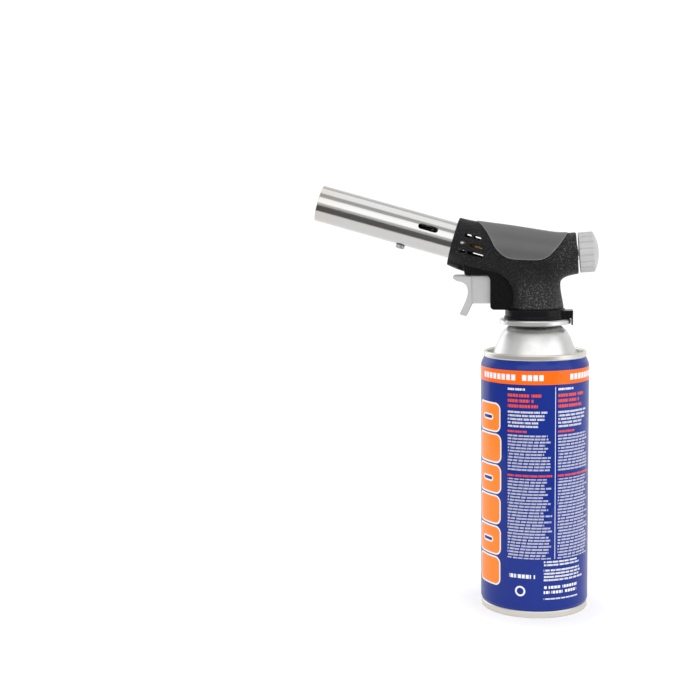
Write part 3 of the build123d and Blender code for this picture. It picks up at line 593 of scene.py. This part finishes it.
class Shader:
    """A Principled material, with its object coordinates in millimetres."""

    def __init__(self, name, color, roughness, metallic=0.0, coat=0.0, coat_roughness=0.1, gloss=0.5):
        self.material = bpy.data.materials.new(name)
        self.material.use_nodes = True
        self.nodes, self.links = self.material.node_tree.nodes, self.material.node_tree.links
        self.principled = self.nodes["Principled BSDF"]
        self.set("Base Color", (*color, 1.0))
        for key, value in {"Roughness": roughness, "Metallic": metallic, "Coat Weight": coat,
                           "Coat Roughness": coat_roughness, "Specular IOR Level": gloss}.items():
            self.set(key, value)
        coordinates = self.nodes.new("ShaderNodeTexCoord").outputs["Object"]
        self.place = self.vector("SCALE", coordinates, scale=1 / MM)
        parts = self.node("ShaderNodeSeparateXYZ", {0: self.place})
        self.x, self.y, self.z = (Value(self, socket) for socket in parts.outputs)

    def feed(self, socket, value):
        """Links a socket or Value to a socket, or sets a constant on it."""
        if isinstance(value, Value):
            value = value.socket
        if isinstance(value, bpy.types.NodeSocket):
            self.links.new(value, socket)
        elif hasattr(socket.default_value, "__len__") and not hasattr(value, "__len__"):
            socket.default_value = [value] * len(socket.default_value)
        else:
            socket.default_value = value

    def set(self, key, value):
        self.feed(self.principled.inputs[key], value)

    def node(self, kind, inputs):
        node = self.nodes.new(kind)
        for key, value in inputs.items():
            self.feed(node.inputs[key], value)
        return node

    def math(self, kind, *values):
        node = self.node("ShaderNodeMath", dict(enumerate(values)))
        node.operation = kind
        return Value(self, node.outputs[0])

    def vector(self, kind, first, second=None, scale=None):
        """Vector maths, with a second vector or a scale."""
        node = self.nodes.new("ShaderNodeVectorMath")
        node.operation = kind
        self.feed(node.inputs[0], first)
        if second is not None:
            self.feed(node.inputs[1], second)
        if scale is not None:
            node.inputs["Scale"].default_value = scale
        return node.outputs[0]

    def point(self, x, y, z=0.0):
        return self.node("ShaderNodeCombineXYZ", {0: x, 1: y, 2: z}).outputs[0]

    def noise(self, scale, detail=3.0, place=None):
        """Soft noise, with scale in features per millimetre."""
        place = self.place if place is None else place
        node = self.node("ShaderNodeTexNoise", {"Vector": place, "Scale": scale, "Detail": detail,
                                                "Roughness": 0.55})
        return Value(self, node.outputs[0])

    def grain(self, scale):
        """Rounded cells, as of a moulded texture: 0 at a cell's middle."""
        node = self.node("ShaderNodeTexVoronoi", {"Vector": self.place, "Scale": scale})
        return Value(self, node.outputs["Distance"])

    def chance(self, x, y, z=0.0):
        """A fixed random number for each whole number."""
        node = self.node("ShaderNodeTexWhiteNoise", {"Vector": self.point(x, y, z)})
        return Value(self, node.outputs["Value"])

    def mix(self, share, first, second):
        """Colour that runs from first, at share 0, to second, at share 1."""
        node = self.nodes.new("ShaderNodeMix")
        node.data_type = "RGBA"
        self.feed(node.inputs["Factor"], share)
        for socket, color in zip((s for s in node.inputs if s.type == "RGBA"), (first, second)):
            self.feed(socket, (*color, 1.0) if isinstance(color, tuple) else color)
        return next(s for s in node.outputs if s.type == "RGBA")

    def bump(self, height, depth):
        """height runs from 0 to 1 over depth millimetres."""
        node = self.node("ShaderNodeBump", {"Height": height, "Distance": depth * MM, "Strength": 1.0})
        self.set("Normal", node.outputs[0])

    def frame_of(self, line):
        """Coordinates along and round a line, in mm: (along, round, distance)."""
        first, second, axis = basis(line)
        shifted = self.vector("SUBTRACT", self.place, tuple(line[0]))
        parts = [Value(self, self._dot(shifted, way)) for way in (first, second, axis)]
        turn = self.math("ARCTAN2", parts[1], parts[0])
        distance = self.math("SQRT", parts[0] * parts[0] + parts[1] * parts[1])
        return parts[2], turn, distance

    def _dot(self, vector, way):
        node = self.nodes.new("ShaderNodeVectorMath")
        node.operation = "DOT_PRODUCT"
        self.feed(node.inputs[0], vector)
        self.feed(node.inputs[1], tuple(way))
        return node.outputs["Value"]


BLUE = (0.005, 0.022, 0.215)
ORANGE = (0.93, 0.140, 0.003)
PALE_ORANGE = (0.95, 0.235, 0.020)
RED_ORANGE = (0.86, 0.080, 0.012)
WHITE = (0.82, 0.83, 0.86)


def rows(shader, u, left, width, top, bottom, pitch, letter, seed, ragged=0.2):
    """Broken bars in rows, like small print that can't be read. pitch is of the rows, letter of the bars."""
    z = shader.z
    line = ((top - z) / pitch).floor()
    height = ((top - z) / pitch).fract()
    shifted = u + line * 7.31
    word = shader.chance((shifted / (letter * 4.3)).floor(), line, seed)
    gap = ((shifted / (letter * 4.3)).fract() < 0.80 + word * 0.16)
    stroke = (shifted / letter).fract() < 0.78
    end = left + width - shader.chance(line, seed, 3.0) * (ragged * width)
    return z.inside(bottom, top) * height.inside(0.20, 0.76) * gap * stroke * (u > left) * (u < end)


def blocks(shader, u):
    """Column of rounded blocks, every second one with a slot through it. Distance in mm, negative inside."""
    pitch, low, count = 18.9, 17.2, 6
    middle_u, half_width, half_height, radius = -33.4, 12.0, 8.1, 3.4
    slot_half, slot_r = 3.6, 1.9
    far = 50.0  # a distance that is past every edge
    z = shader.z
    number = ((z - low) / pitch).floor()
    across_block = abs(u - middle_u)
    up = abs(((z - low) / pitch).fract() * pitch - pitch / 2)
    a = across_block - (half_width - shader.chance(number, 5.0) * 1.6) + radius
    b = up - half_height + radius
    corner = shader.math("SQRT", a.maximum(0.0) * a.maximum(0.0) + b.maximum(0.0) * b.maximum(0.0))
    block = corner + a.maximum(b).minimum(0.0) - radius
    reach = (across_block - slot_half).maximum(0.0)
    slot = shader.math("SQRT", reach * reach + up * up) - slot_r
    odd = (number / 2.0).fract() > 0.25
    block = block.maximum(-1.0 * slot - (1.0 - odd) * far)
    return block + (1.0 - z.inside(low, low + count * pitch)) * far


COLUMN_LEFT, COLUMN_STEP = -16.4, 31.0  # left edge of the first text column and the distance to the second
FOOT_HIGH, BAND_LOW, BAND_HIGH = 36.6, 142.3, 150.6


def print_base(name):
    """Varnished blue print: its shader, the place round the can and the place in the repeated layout."""
    s = Shader(name, BLUE, roughness=0.34, coat=0.3, coat_roughness=0.04, gloss=0.1)
    round_can = s.math("ARCTAN2", s.x, -1.0 * s.y) * CAN_R
    half = pi * CAN_R
    u = s.math("WRAP", round_can, half / 2, -half / 2)
    s.bump(s.noise(0.12, 2.0), 0.03)
    return s, round_can, u


def inked(s, white, orange=0.0, red=0.0, pale=0.0):
    """Colours the print: the blue ground, then the oranges, then white on top."""
    colour = s.mix(s.noise(0.05, 2.0) * 0.5, BLUE, (0.007, 0.030, 0.265))
    for share, ink in ((orange, ORANGE), (red, RED_ORANGE), (pale, PALE_ORANGE), (white, WHITE)):
        if isinstance(share, Value):
            colour = s.mix(share.minimum(1.0), colour, ink)
    s.set("Base Color", colour)
    s.set("Roughness", s.noise(0.35) * 0.14 + 0.28)
    return s.material


def print_text():
    """Two columns of small print that can't be read, with their headings and the line between them."""
    s, _, u = print_base("print_text")
    second = u > COLUMN_LEFT + COLUMN_STEP - 2.0
    column = u - COLUMN_LEFT - second * COLUMN_STEP
    white = rows(s, column, 0, 11, 140.6, 138.3, 2.3, 1.1, 1.0, 0.0)
    white = white + 0.85 * rows(s, column, 0, 25, 126.8, 116.1, 2.14, 0.95, 2.0, 0.35)
    small = (s.z.inside(90.0, 112.4) + s.z.inside(35.2, 85.6)) * 0.68
    white = white + small * rows(s, column, 0, 27.5, 112.4, 35.2, 1.866, 0.80, 3.0)
    white = white + u.inside(12.65, 13.0) * s.z.inside(FOOT_HIGH, 141.0)
    red = rows(s, column, 0, 22, 137.3, 127.7, 3.2, 1.7, 5.0, 0.3)
    red = red + rows(s, column, 0, 12, 115.1, 112.9, 2.2, 1.1, 6.0, 0.0)
    red = red + rows(s, column, 0, 27.5, 88.4, 86.2, 2.2, 1.1, 7.0, 0.0)
    return inked(s, white, red=red)


def print_foot():
    """Blue ground with the small marks near the can's foot."""
    s, _, u = print_base("print_foot")
    white = rows(s, u, 6.0, 27, 35.8, 32.0, 1.9, 0.9, 8.0)
    white = white + rows(s, u, 6.0, 30, 30.7, 22.7, 2.0, 0.8, 9.0)
    white = white + rows(s, u, 6.0, 24, 20.7, 14.6, 3.05, 2.1, 10.0, 0.25)
    white = white + rows(s, u, 6.0, 26, 12.9, 11.3, 1.6, 0.8, 11.0)
    white = white + rows(s, u, -15.2, 16, 27.8, 23.6, 4.2, 2.4, 12.0, 0.0)
    off_centre = s.math("SQRT", (u + 8.2) * (u + 8.2) + (s.z - 16.6) * (s.z - 16.6))
    return inked(s, white + off_centre.inside(2.1, 3.2))


def print_blocks():
    """Column of orange blocks with a white edge."""
    s, _, u = print_base("print_blocks")
    block = blocks(s, u)
    return inked(s, block.inside(0.0, 0.95), pale=block < 0.0)


def print_band():
    """Orange band with white bars."""
    s, round_can, _ = print_base("print_band")
    bar, word, start, half_height = 3.4, 60.8, 38.3, 1.75
    along_band = s.math("WRAP", round_can + start, tau * CAN_R, 0.0)
    place = (along_band / word).fract() * word
    space = place.inside(8 * bar, 9 * bar)
    bars = (place / bar).fract().inside(0.10, 0.86) * (place < 13 * bar) * (1.0 - space)
    band = s.z.inside(BAND_LOW, BAND_HIGH)
    middle_z = (BAND_LOW + BAND_HIGH) / 2
    return inked(s, bars * (abs(s.z - middle_z) < half_height) * (along_band < 3 * word), orange=band)


def tinplate(name, color, roughness):
    """Satin tinplate, with faint rings from forming, stains, a warm varnish on the seams and painted shade on
    the neck.
    """
    s = Shader(name, color, roughness=roughness, metallic=1.0)
    radius = s.math("SQRT", s.x * s.x + s.y * s.y)
    rings = s.noise(1.0, 3.0, s.point(radius * 3.0, s.z * 3.0))
    stain = s.noise(0.08, 4.0)
    dark = tuple(c * 0.86 for c in color)
    colour = s.mix(stain.ramp(0.35, 0.75), color, dark)
    seam_inner, neck_outer, collar_under = 29.6, 17.3, 178.4
    on_seam = radius > seam_inner
    # Painted shade: the neck under the collar is darkened in colour, where the collar shades it.
    painted_neck_shade = (radius < neck_outer) * s.z.ramp(173.2, 174.0) * (s.z < collar_under)
    colour = s.mix(on_seam * 0.8, colour, (0.66, 0.63, 0.565))
    s.set("Base Color", s.mix(painted_neck_shade * 0.65, colour, (0.10, 0.10, 0.10)))
    s.set("Roughness", rings * 0.14 + stain * 0.10 + (roughness - 0.12))
    s.bump(rings, 0.012)
    return s.material


def moulded(name, color, roughness, pitch, depth, smooth_web=False, rim=None, gloss=0.5):
    """Moulded plastic with a fine texture and faint flow marks.

    With smooth_web, the web's flat sides are smooth and darkened by painted shade, and the rest has specks,
    stronger and paler where a painted highlight lies on the neck and the rear.
    With rim, a painted highlight of that colour lies along the edge that the mesh marks.
    """
    s = Shader(name, color, roughness=roughness, gloss=gloss)
    cells = s.grain(1.0 / pitch)
    fine = s.noise(2.2 / pitch, 2.0)
    height = cells.ramp(0.0, 0.9) * 0.7 + fine * 0.5
    flow = s.noise(0.05, 3.0)
    light = tuple(min(1.0, c * 1.35 + 0.004) for c in color)
    colour = s.mix(flow * 0.5 + cells * 0.25, color, light)
    rough = flow * 0.10 + fine * 0.10 + roughness - 0.10
    if smooth_web:
        # Painted highlight: the lower neck and the rear are paler, with stronger specks, as if light fell
        # there.
        painted_highlight = (s.z.ramp(210.0, 194.0) * s.x.ramp(-13.0, -5.0)).maximum(s.x.ramp(2.0, 20.0) * 0.7)
        speck = s.noise(1.1, 1.0).ramp(0.50, 0.68)
        colour = s.mix(speck * (painted_highlight * 0.75 + 0.25) * 0.6 + painted_highlight * 0.1, colour, (0.12, 0.12, 0.121))
        web_top = 212.6 - (s.x + 44.0) * 0.25  # slants down from the front
        web_back = -11.0
        # Painted shade: the web's flat sides, under the ledge, are darkened in colour; they are also made
        # smoother.
        flat = (abs(s.y) < WEB_HALF + 0.06) * (s.x < web_back) * (s.z < web_top)
        height = height * (1.0 - flat * 0.85)
        rough = rough - flat * 0.16
        colour = s.mix(flat * 0.75, colour, (0.002, 0.002, 0.002))
    # Painted highlight along the cover's edge, where the rim attribute marks it.
    if rim is not None:
        attribute = s.nodes.new("ShaderNodeAttribute")
        attribute.attribute_name = "rim"
        colour = s.mix(Value(s, attribute.outputs["Fac"]) * (fine * 0.3 + 0.7), colour, rim)
    s.set("Base Color", colour)
    s.set("Roughness", rough)
    s.bump(height, depth)
    return s.material


def burner_steel():
    """Stainless tube polished lengthwise, faintly straw-coloured where the flame leaves it."""
    s = Shader("tube_steel", (0.66, 0.65, 0.64), roughness=0.26, metallic=1.0)
    reach, turn, distance = s.frame_of(BURNER)
    lines = s.noise(1.0, 4.0, s.point(reach * 0.035, turn * 26.0, distance))
    clouds = s.noise(0.07, 3.0)
    heat = reach.ramp(TUBE_FRONT - 22.0, TUBE_FRONT) * 0.45
    colour = s.mix(lines * 0.35 + clouds * 0.15, (0.55, 0.545, 0.54), (0.43, 0.427, 0.424))
    s.set("Base Color", s.mix(heat * (clouds * 0.6 + 0.5), colour, (0.52, 0.46, 0.38)))
    s.set("Roughness", lines * 0.12 + clouds * 0.06 + 0.06)
    s.bump(lines, 0.008)
    return s.material


def machined(name, color, roughness):
    """Turned or drawn metal: fine marks and dull patches."""
    s = Shader(name, color, roughness=roughness, metallic=1.0)
    marks = s.noise(2.0, 4.0)
    dull = s.noise(0.25, 3.0)
    dark = tuple(c * 0.75 for c in color)
    s.set("Base Color", s.mix(dull, color, dark))
    s.set("Roughness", marks * 0.18 + dull * 0.12 + roughness - 0.12)
    s.bump(marks, 0.01)
    return s.material


def plain(name, color, roughness, depth=0.02):
    """Soft or ceramic pieces inside: a faint skin and cloudy colour."""
    s = Shader(name, color, roughness=roughness)
    skin_noise = s.noise(1.6, 3.0)
    dark = tuple(c * 0.8 for c in color)
    s.set("Base Color", s.mix(s.noise(0.3, 3.0), color, dark))
    s.set("Roughness", skin_noise * 0.15 + roughness - 0.08)
    s.bump(skin_noise, depth)
    return s.material


PAINT = {
    "can_print": print_foot(),
    "tinplate": tinplate("tinplate", (0.70, 0.70, 0.695), 0.38),
    # housing_black: painted shade on the web's flat sides and a painted highlight on the neck and the rear.
    "housing_black": moulded("housing_black", (0.008, 0.008, 0.0085), 0.42, 0.80, 0.34, smooth_web=True,
                             gloss=0.10),
    "ring_black": moulded("ring_black", (0.004, 0.004, 0.005), 0.28, 2.0, 0.004, gloss=0.12),
    # cover_grey: a paler painted highlight along its edge.
    "cover_grey": moulded("cover_grey", (0.078, 0.078, 0.081), 0.44, 0.42, 0.035,
                          rim=(0.20, 0.20, 0.205)),
    "control_grey": moulded("control_grey", (0.40, 0.40, 0.405), 0.40, 0.9, 0.010),
    "tube_steel": burner_steel(),
    "plated_steel": machined("plated_steel", (0.60, 0.60, 0.61), 0.30),
    "spring_steel": machined("spring_steel", (0.42, 0.42, 0.43), 0.34),
    "brass": machined("brass", (0.80, 0.58, 0.25), 0.26),
    "rubber": plain("rubber", (0.012, 0.012, 0.012), 0.62),
    "pale_plastic": plain("pale_plastic", (0.70, 0.69, 0.64), 0.42),
    "ceramic": plain("ceramic", (0.78, 0.76, 0.71), 0.22, 0.006),
    "piezo_plastic": plain("piezo_plastic", (0.03, 0.03, 0.032), 0.40),
    "cable_cover": plain("cable_cover", (0.35, 0.02, 0.02), 0.45),
}
SLOTS = {part["node"]: part["material_slot"] for part in RECORD["subparts"]}
BODIES = {node: body_name for body_name, nodes in RECORD["behaviour"]["bodies"].items() for node in nodes}


def put(obj, node):
    """The piece stands for this CAD node, takes its slot and material, and rides on its body."""
    obj.data.materials.clear()
    obj.data.materials.append(PAINT[SLOTS[node]])
    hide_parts(node)
    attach(obj, BODIES[node])
    return obj


# ---------------------------------------------------------------- cartridge
def can_wall():
    """Printed wall. Each zone of its print has its own material."""
    zones_top = BAND_LOW - 0.6
    outer = [(32.3, CAN_LOW, 0), (32.3, CAN_LOW + 0.4, 0.2), (CAN_R, CAN_LOW + 1.8, 1.2),
             (CAN_R, FOOT_HIGH, 0), (CAN_R, zones_top, 0), (CAN_R, 152.0, 9), (30.9, CAN_HIGH, 0)]
    inner = [(a - SHEET, b, r) for a, b, r in reversed(outer)]
    wall = put(lathe("can_wall", rounded(outer + inner), count=256), "cartridge_body")
    for made in (print_text(), print_blocks(), print_band()):
        wall.data.materials.append(made)
    half = pi * CAN_R
    for face in wall.data.polygons:
        x, y, z = face.center / MM
        u = (np.arctan2(x, -y) * CAN_R + half / 2) % half - half / 2
        if z > zones_top:
            face.material_index = 3
        elif u < COLUMN_LEFT - 1.2:
            face.material_index = 2
        elif z > FOOT_HIGH:
            face.material_index = 1


def can_base():
    """Rolled bottom seam and the concave base inside it."""
    seam = rounded([(30.4, 1.6, 0), (31.2, 0, 0.3), (32.1, 0, 0.5), (32.6, 0.9, 0.5), (32.6, 3.6, 0.7),
                    (32.2, CAN_LOW, 0.3), (30.6, CAN_LOW, 0.3), (30.6, 2.6, 0)])
    upper = smooth_line([(30.6, 2.6), (26, 4.5), (20, 6.6), (11, 8.4), (0, 9.0)])
    lower = smooth_line([(0, 8.5), (11, 7.9), (20, 6.1), (26, 4.0), (30.4, 1.6)])
    return lathe("can_base", np.vstack([seam, upper[1:], lower[:-1]]), count=256)


def can_top():
    """Rolled top seam, the channel inside it and the bell that narrows to the neck."""
    seam = rounded([(29.6, CAN_HIGH, 0), (31.0, CAN_HIGH, 0.2), (31.3, 156.8, 0.5), (31.3, 159.1, 0.6),
                    (30.8, SEAM_TOP, 0.4), (30.0, SEAM_TOP, 0.4), (29.5, 159.0, 0)])
    bell = smooth_line([(29.4, 158.6), (29.2, 156.0), (27.6, 155.0), (26.0, 156.8), (24.6, 160.2),
                        (23.2, 163.8), (21.6, 167.6), (19.5, 171.2), (17.0, 173.6), (15.2, 174.9)])
    way = np.gradient(bell, axis=0)
    way = way / np.linalg.norm(way, axis=1)[:, None]
    under = (bell + np.stack([-way[:, 1], way[:, 0]], 1) * SHEET)[::-1]
    under = under[(under[:, 0] < 29.3) | (under[:, 1] < CAN_HIGH - 0.1)]
    return lathe("can_top", np.vstack([seam, bell, under]), count=256)


def sector(inner, outer, middle, width):
    """Part of a ring, about its middle angle in degrees."""
    turns = [radians(middle + width * (t - 0.5)) for t in np.linspace(0, 1, 13)]
    near = [(inner * cos(t), inner * sin(t)) for t in turns]
    return np.array(near + [(outer * cos(t), outer * sin(t)) for t in reversed(turns)])[::-1]


def can_collar():
    """Pressed collar with its rolled rim, the rim notch and the bayonet's three notches."""
    under, foot = 178.3, 174.95  # underside of the collar's plate, and where its skirt stands on the bell
    profile = rounded([
        (10.7, COLLAR_TOP, 0.2), (20.9, COLLAR_TOP, 0.6), (COLLAR_R, COLLAR_TOP - 0.7, 0.6),
        (COLLAR_R, COLLAR_LOW + 0.3, 0.3), (21.4, COLLAR_LOW, 0.2), (20.8, COLLAR_LOW, 0.2),
        (20.8, under, 0.5), (15.0, under, 0.5), (15.0, foot, 0), (14.3, foot, 0), (14.3, under, 0.1),
        (10.7, under, 0.2),
    ])
    over = COLLAR_TOP + 1
    cutters = [prism("rim_notch", sector(20.4, 23.0, 215, 9.0), UPRIGHT, COLLAR_TOP - 1.3, over)]
    for i in range(3):
        cutters.append(prism("lug_notch", sector(9.0, 14.0, 45 + 120 * i, 36), UPRIGHT, 177.1, over))
    return carve(lathe("can_collar", profile, count=256), *cutters, line=UPRIGHT)


can_wall()
put(can_base(), "cartridge_bottom")
put(can_top(), "cartridge_top")
put(can_collar(), "cartridge_collar")


# ---------------------------------------------------------------- torch head
def half_housing(name, side):
    """One half of the housing: side is -1 for the left half, 1 for the right."""
    low, high = [-56.0, -18.6, 183.8], [28.8, 0.6, 243.4]
    if side > 0:
        low[1], high[1] = -high[1], -low[1]
    return net(name, lambda p: meet(housing(p), 0.03 - side * p[1], 0.12), low, high, 0.42)


def wheel():
    """Ribbed hand wheel: its rim has narrow grooves between wide ribs, and a shallow dome closes it."""
    end = KNOB_S + KNOB_LONG
    pitch = tau / KNOB_GROOVES

    def ribs(radius, angle):
        """Sinks the grooves into the rim."""
        off = np.abs((angle / pitch - 0.85 + 0.5) % 1.0 - 0.5) * pitch * KNOB_R
        depth = 0.5 * np.exp(-(off / 0.42) ** 4) + 0.10 * np.exp(-(off / 0.9) ** 2)
        return radius - depth * np.clip((radius - 11.1) / 0.7, 0.0, 1.0)

    outline = rounded([
        (0, HUB_END, 0), (2.0, HUB_END, 0), (2.0, 28.0, 0.2), (4.0, 28.0, 0.3), (4.0, HUB_END, 0.5),
        (10.2, HUB_END, 0.6), (10.2, KNOB_S, 0.3), (KNOB_R, KNOB_S, 0.4), (KNOB_R, end - 0.4, 0.3),
        (11.9, end, 0),
    ])
    dome = smooth_line([(11.6, end + 0.16), (10.4, end + 0.68), (8.6, end + 1.45), (5.6, end + 2.35),
                        (2.6, end + 2.8), (0, end + 2.9)], 4)
    return lathe("knob_wheel", np.vstack([outline, dome]), VALVE, KNOB_GROOVES * 24, ribs, sharp=42)


def burner_tube():
    """Thin steel tube with three air slots and the hole of its screw."""
    inner = TUBE_R - TUBE_WALL
    profile = rounded([(inner, TUBE_BACK, 0.15), (TUBE_R, TUBE_BACK, 0.2), (TUBE_R, TUBE_FRONT, 0.28),
                       (inner, TUBE_FRONT, 0.2)])
    origin, axis = BURNER
    cutters = []
    for turn in (20, 140, 260):
        out = cos(radians(turn)) * np.array((0.0, -1.0, 0.0)) + sin(radians(turn)) * BURNER_UP
        slot_line = (origin + axis * TUBE_SLOT_S, out)
        cutters.append(prism("slot", stadium(12.4, 3.7), slot_line, 8, 14, near=axis))
    cutters.append(prism("hole", circle(1.3), (origin + axis * TUBE_SCREW_S, -BURNER_UP), 8, 14))
    return carve(lathe("burner_tube", profile, BURNER, 200), *cutters, line=BURNER)


def screw(name, line, head, low, seat, top, cross):
    """Pan-head screw with a cross recess, or else a straight slot. head is its radius."""
    shank = head * 0.48
    profile = rounded([(0, low, 0), (shank - 0.3, low, 0.1), (shank, low + 0.4, 0.1), (shank, seat, 0),
                       (head, seat, 0.15), (head, top - 0.5, 0.5), (head * 0.62, top, 1.2), (0, top, 0)])
    made = lathe(name, profile, line, 64)
    arm, thin, floor = head * 0.6, head * 0.14, top - 0.85
    bar = np.array([(-arm, -thin), (arm, -thin), (arm, thin), (-arm, thin)])
    bars = [bar, bar[:, ::-1][::-1]] if cross else [bar * (2.2, 1.0)]
    return carve(made, *[prism("recess", bar, line, floor, top + 1, near=(1.0, 0.0, 0.0)) for bar in bars])


def coil(name, line, radius, wire, low, high, turns):
    """Compression spring round a line, of round wire, from low to high along it."""
    first, second, axis = basis(line)
    steps, sides = 40 * turns, 12
    points = []
    for i in range(steps + 1):
        turn = tau * i * turns / steps
        out = cos(turn) * first + sin(turn) * second
        middle = line[0] + radius * out + axis * (low + wire + (high - low - 2 * wire) * i / steps)
        for side in np.arange(sides) * tau / sides:
            points.append(middle + wire * (cos(side) * out + sin(side) * axis))
    faces = [list(range(sides))[::-1], list(range(steps * sides, (steps + 1) * sides))]
    for i in range(steps):
        for j in range(sides):
            k = (j + 1) % sides
            faces.append([i * sides + j, i * sides + k, (i + 1) * sides + k, (i + 1) * sides + j])
    return make_object(name, points, faces)


def spring(name, node, joint, travel, held_end, free_end, *form):
    """Coil from the form, which stands for the node and rides on its body. The joint, travel, held_end and
    free_end are not used.
    """
    made = put(coil(name, *form), node)
    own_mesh(made)


put(half_housing("housing_shell_left", -1), "housing_left")
put(half_housing("housing_shell_right", 1), "housing_right")
saddle = put(net("saddle", top_cover, (-39.6, -15.6, 211.5), (21.5, 15.6, 244.2), 0.38), "top_cover")
corners = np.array([vertex.co for vertex in saddle.data.vertices]) / MM
# The rim attribute marks where the painted highlight lies, along the cover's edge.
rim = saddle.data.attributes.new("rim", "FLOAT", "POINT")
rim.data.foreach_set("value", np.exp(-(cover_region(tuple(corners.T)) / 0.55) ** 2))
put(net("foot_ring", base_ring, (-19.6, -19.6, 174.6), (23.6, 19.6, 188.6), 0.36), "base_ring")
put(net("trigger_lever", trigger, (-50.8, -8.4, 180.0), (-19.2, 8.4, 206.0), 0.33), "trigger")
put(wheel(), "knob")
put(burner_tube(), "flame_tube")
tube_screw_line = (BURNER[0] + BURNER[1] * TUBE_SCREW_S, -BURNER_UP)
put(screw("tube_screw", tube_screw_line, 2.9, 6.5, TUBE_R + 0.02, TUBE_R + 2.5, False), "burner_screw")
for number, spot in enumerate(SCREW_SPOTS, 1):
    form = (across(spot), SCREW_HEAD_R, -5.0, SCREW_SEAT_Y, SCREW_SEAT_Y + 1.7, True)
    put(screw(f"case_screw_{number}", *form), "housing_screws")

front, back = ((x, 0.0, PIEZO_Z) for x in TRIGGER_SPRING_X)
spring("return_spring", "trigger_spring", "trigger_pull", TRIGGER_TRAVEL, back, front,
       (np.array(front), np.array((1.0, 0.0, 0.0))), 3.95, 0.4, 0.0, back[0] - front[0], 6)
low, high = STEM_SPRING_Z
spring("stem_spring", "cartridge_valve_spring", "can_stem_press", STEM_TRAVEL, (0.0, 0.0, low),
       (0.0, 0.0, high), UPRIGHT, 2.2, 0.3, low, high, 5)

for node, obj in frame["nodes"].items():
    if not obj.hide_render:
        obj.data.materials.clear()
        obj.data.materials.append(PAINT[SLOTS[node]])


# ---------------------------------------------------------------- stage, light and camera
def stage_material(name, color, roughness=0.7, glow=0.0):
    """Plain matt surface, faintly cloudy, that can glow."""
    s = Shader(name, color, roughness=roughness)
    s.set("Emission Color", (1.0, 1.0, 1.0, 1.0))
    s.set("Emission Strength", glow)
    soft = s.noise(0.004, 2.0)
    s.set("Base Color", s.mix(soft * 0.5, color, tuple(c * 0.985 for c in color)))
    return s.material


def sweep_floor():
    """Pale floor that curves up into the backdrop."""
    reach, back, bend, high = 4.0, 1.3, 0.7, 3.2
    curve = [(back + bend * sin(t), bend - bend * cos(t)) for t in np.linspace(0, pi / 2, 24)]
    line = [(-5.0, 0.0), *curve, (back + bend, high)]
    points = [(x, y, z) for x in (-reach, reach) for y, z in line]
    n = len(line)
    faces = [[i, i + n, i + n + 1, i + 1] for i in range(n - 1)]
    floor = make_object("floor", np.array(points) / MM, faces)
    floor.data.materials.append(stage_material("pale_floor", (0.93, 0.93, 0.93), glow=0.18))


def dark_card():
    """Dark card on the floor, out of sight: it shows only as the dark bands in what shines."""
    points = [(0.40, -0.25), (2.4, -2.4), (-4.0, -2.4), (-4.0, 1.0), (-0.62, 0.3), (-0.5, -0.25)]
    height = 0.002
    spots = np.array([(x, y, height) for x, y in points]) / MM
    card = make_object("dark_card", spots, [list(range(len(points)))])
    card.data.materials.append(stage_material("card", (0.10, 0.097, 0.095), 0.9))
    card.visible_camera = card.visible_diffuse = card.visible_shadow = False


def softbox(name, place, target, width, height, radiance):
    """Area light that faces its target."""
    light = bpy.data.lights.new(name, "AREA")
    light.shape, light.size, light.size_y = "RECTANGLE", width, height
    light.energy = radiance * pi * width * height
    lamp = bpy.data.objects.new(name, light)
    lamp.location = place
    lamp.rotation_euler = (Vector(target) - Vector(place)).to_track_quat("-Z", "Y").to_euler()
    lamp.visible_camera = False
    bpy.context.collection.objects.link(lamp)


def sky(low, high):
    """Even light from all round, darker overhead than at the horizon."""
    world = bpy.data.worlds.new("studio")
    bpy.context.scene.world = world
    world.use_nodes = True
    nodes, links = world.node_tree.nodes, world.node_tree.links
    coordinates = nodes.new("ShaderNodeTexCoord")
    parts = nodes.new("ShaderNodeSeparateXYZ")
    ramp = nodes.new("ShaderNodeMapRange")
    ramp.interpolation_type = "SMOOTHSTEP"
    for key, value in {1: 0.0, 2: 0.9, 3: low, 4: high}.items():
        ramp.inputs[key].default_value = value
    links.new(coordinates.outputs["Generated"], parts.inputs[0])
    links.new(parts.outputs["Z"], ramp.inputs[0])
    links.new(ramp.outputs[0], nodes["Background"].inputs["Strength"])
    nodes["Background"].inputs["Color"].default_value = (1.0, 1.0, 1.0, 1.0)


def camera():
    """Camera at the front, turned a little so that the knob's side is nearer."""
    yaw, pitch, roll = radians(8.0), radians(6.45), radians(-0.65)  # pitch is down
    right = Vector((cos(yaw), sin(yaw), 0.0))
    level = Vector((-sin(yaw), cos(yaw), 0.0))
    ahead = level * cos(pitch) - Vector((0, 0, sin(pitch)))
    up = level * sin(pitch) + Vector((0, 0, cos(pitch)))
    side = right * cos(roll) + up * sin(roll)
    top = up * cos(roll) - right * sin(roll)
    data = bpy.data.cameras.new("camera")
    data.lens, data.sensor_width = 70.62, 36.0
    made = bpy.data.objects.new("camera", data)
    turned = Matrix((side, top, -ahead)).transposed().to_4x4()
    made.matrix_world = Matrix.Translation((0.0042, -0.8455, 0.2555)) @ turned
    bpy.context.collection.objects.link(made)
    bpy.context.scene.camera = made


sweep_floor()
dark_card()
sky(0.80, 0.62)
middle = (-0.03, 0.0, 0.15)  # of the object
softbox("front_softbox", (0.1, -1.25, 0.85), middle, 2.4, 0.9, 1.15)
softbox("right_softbox", (1.3, -0.5, 0.5), middle, 0.9, 1.4, 1.1)
softbox("left_softbox", (-1.2, 0.8, 0.6), middle, 0.9, 1.4, 1.1)
softbox("top_softbox", (0.0, 0.1, 1.7), middle, 1.6, 1.2, 0.9)
camera()
bpy.context.scene.view_settings.view_transform = "Standard"
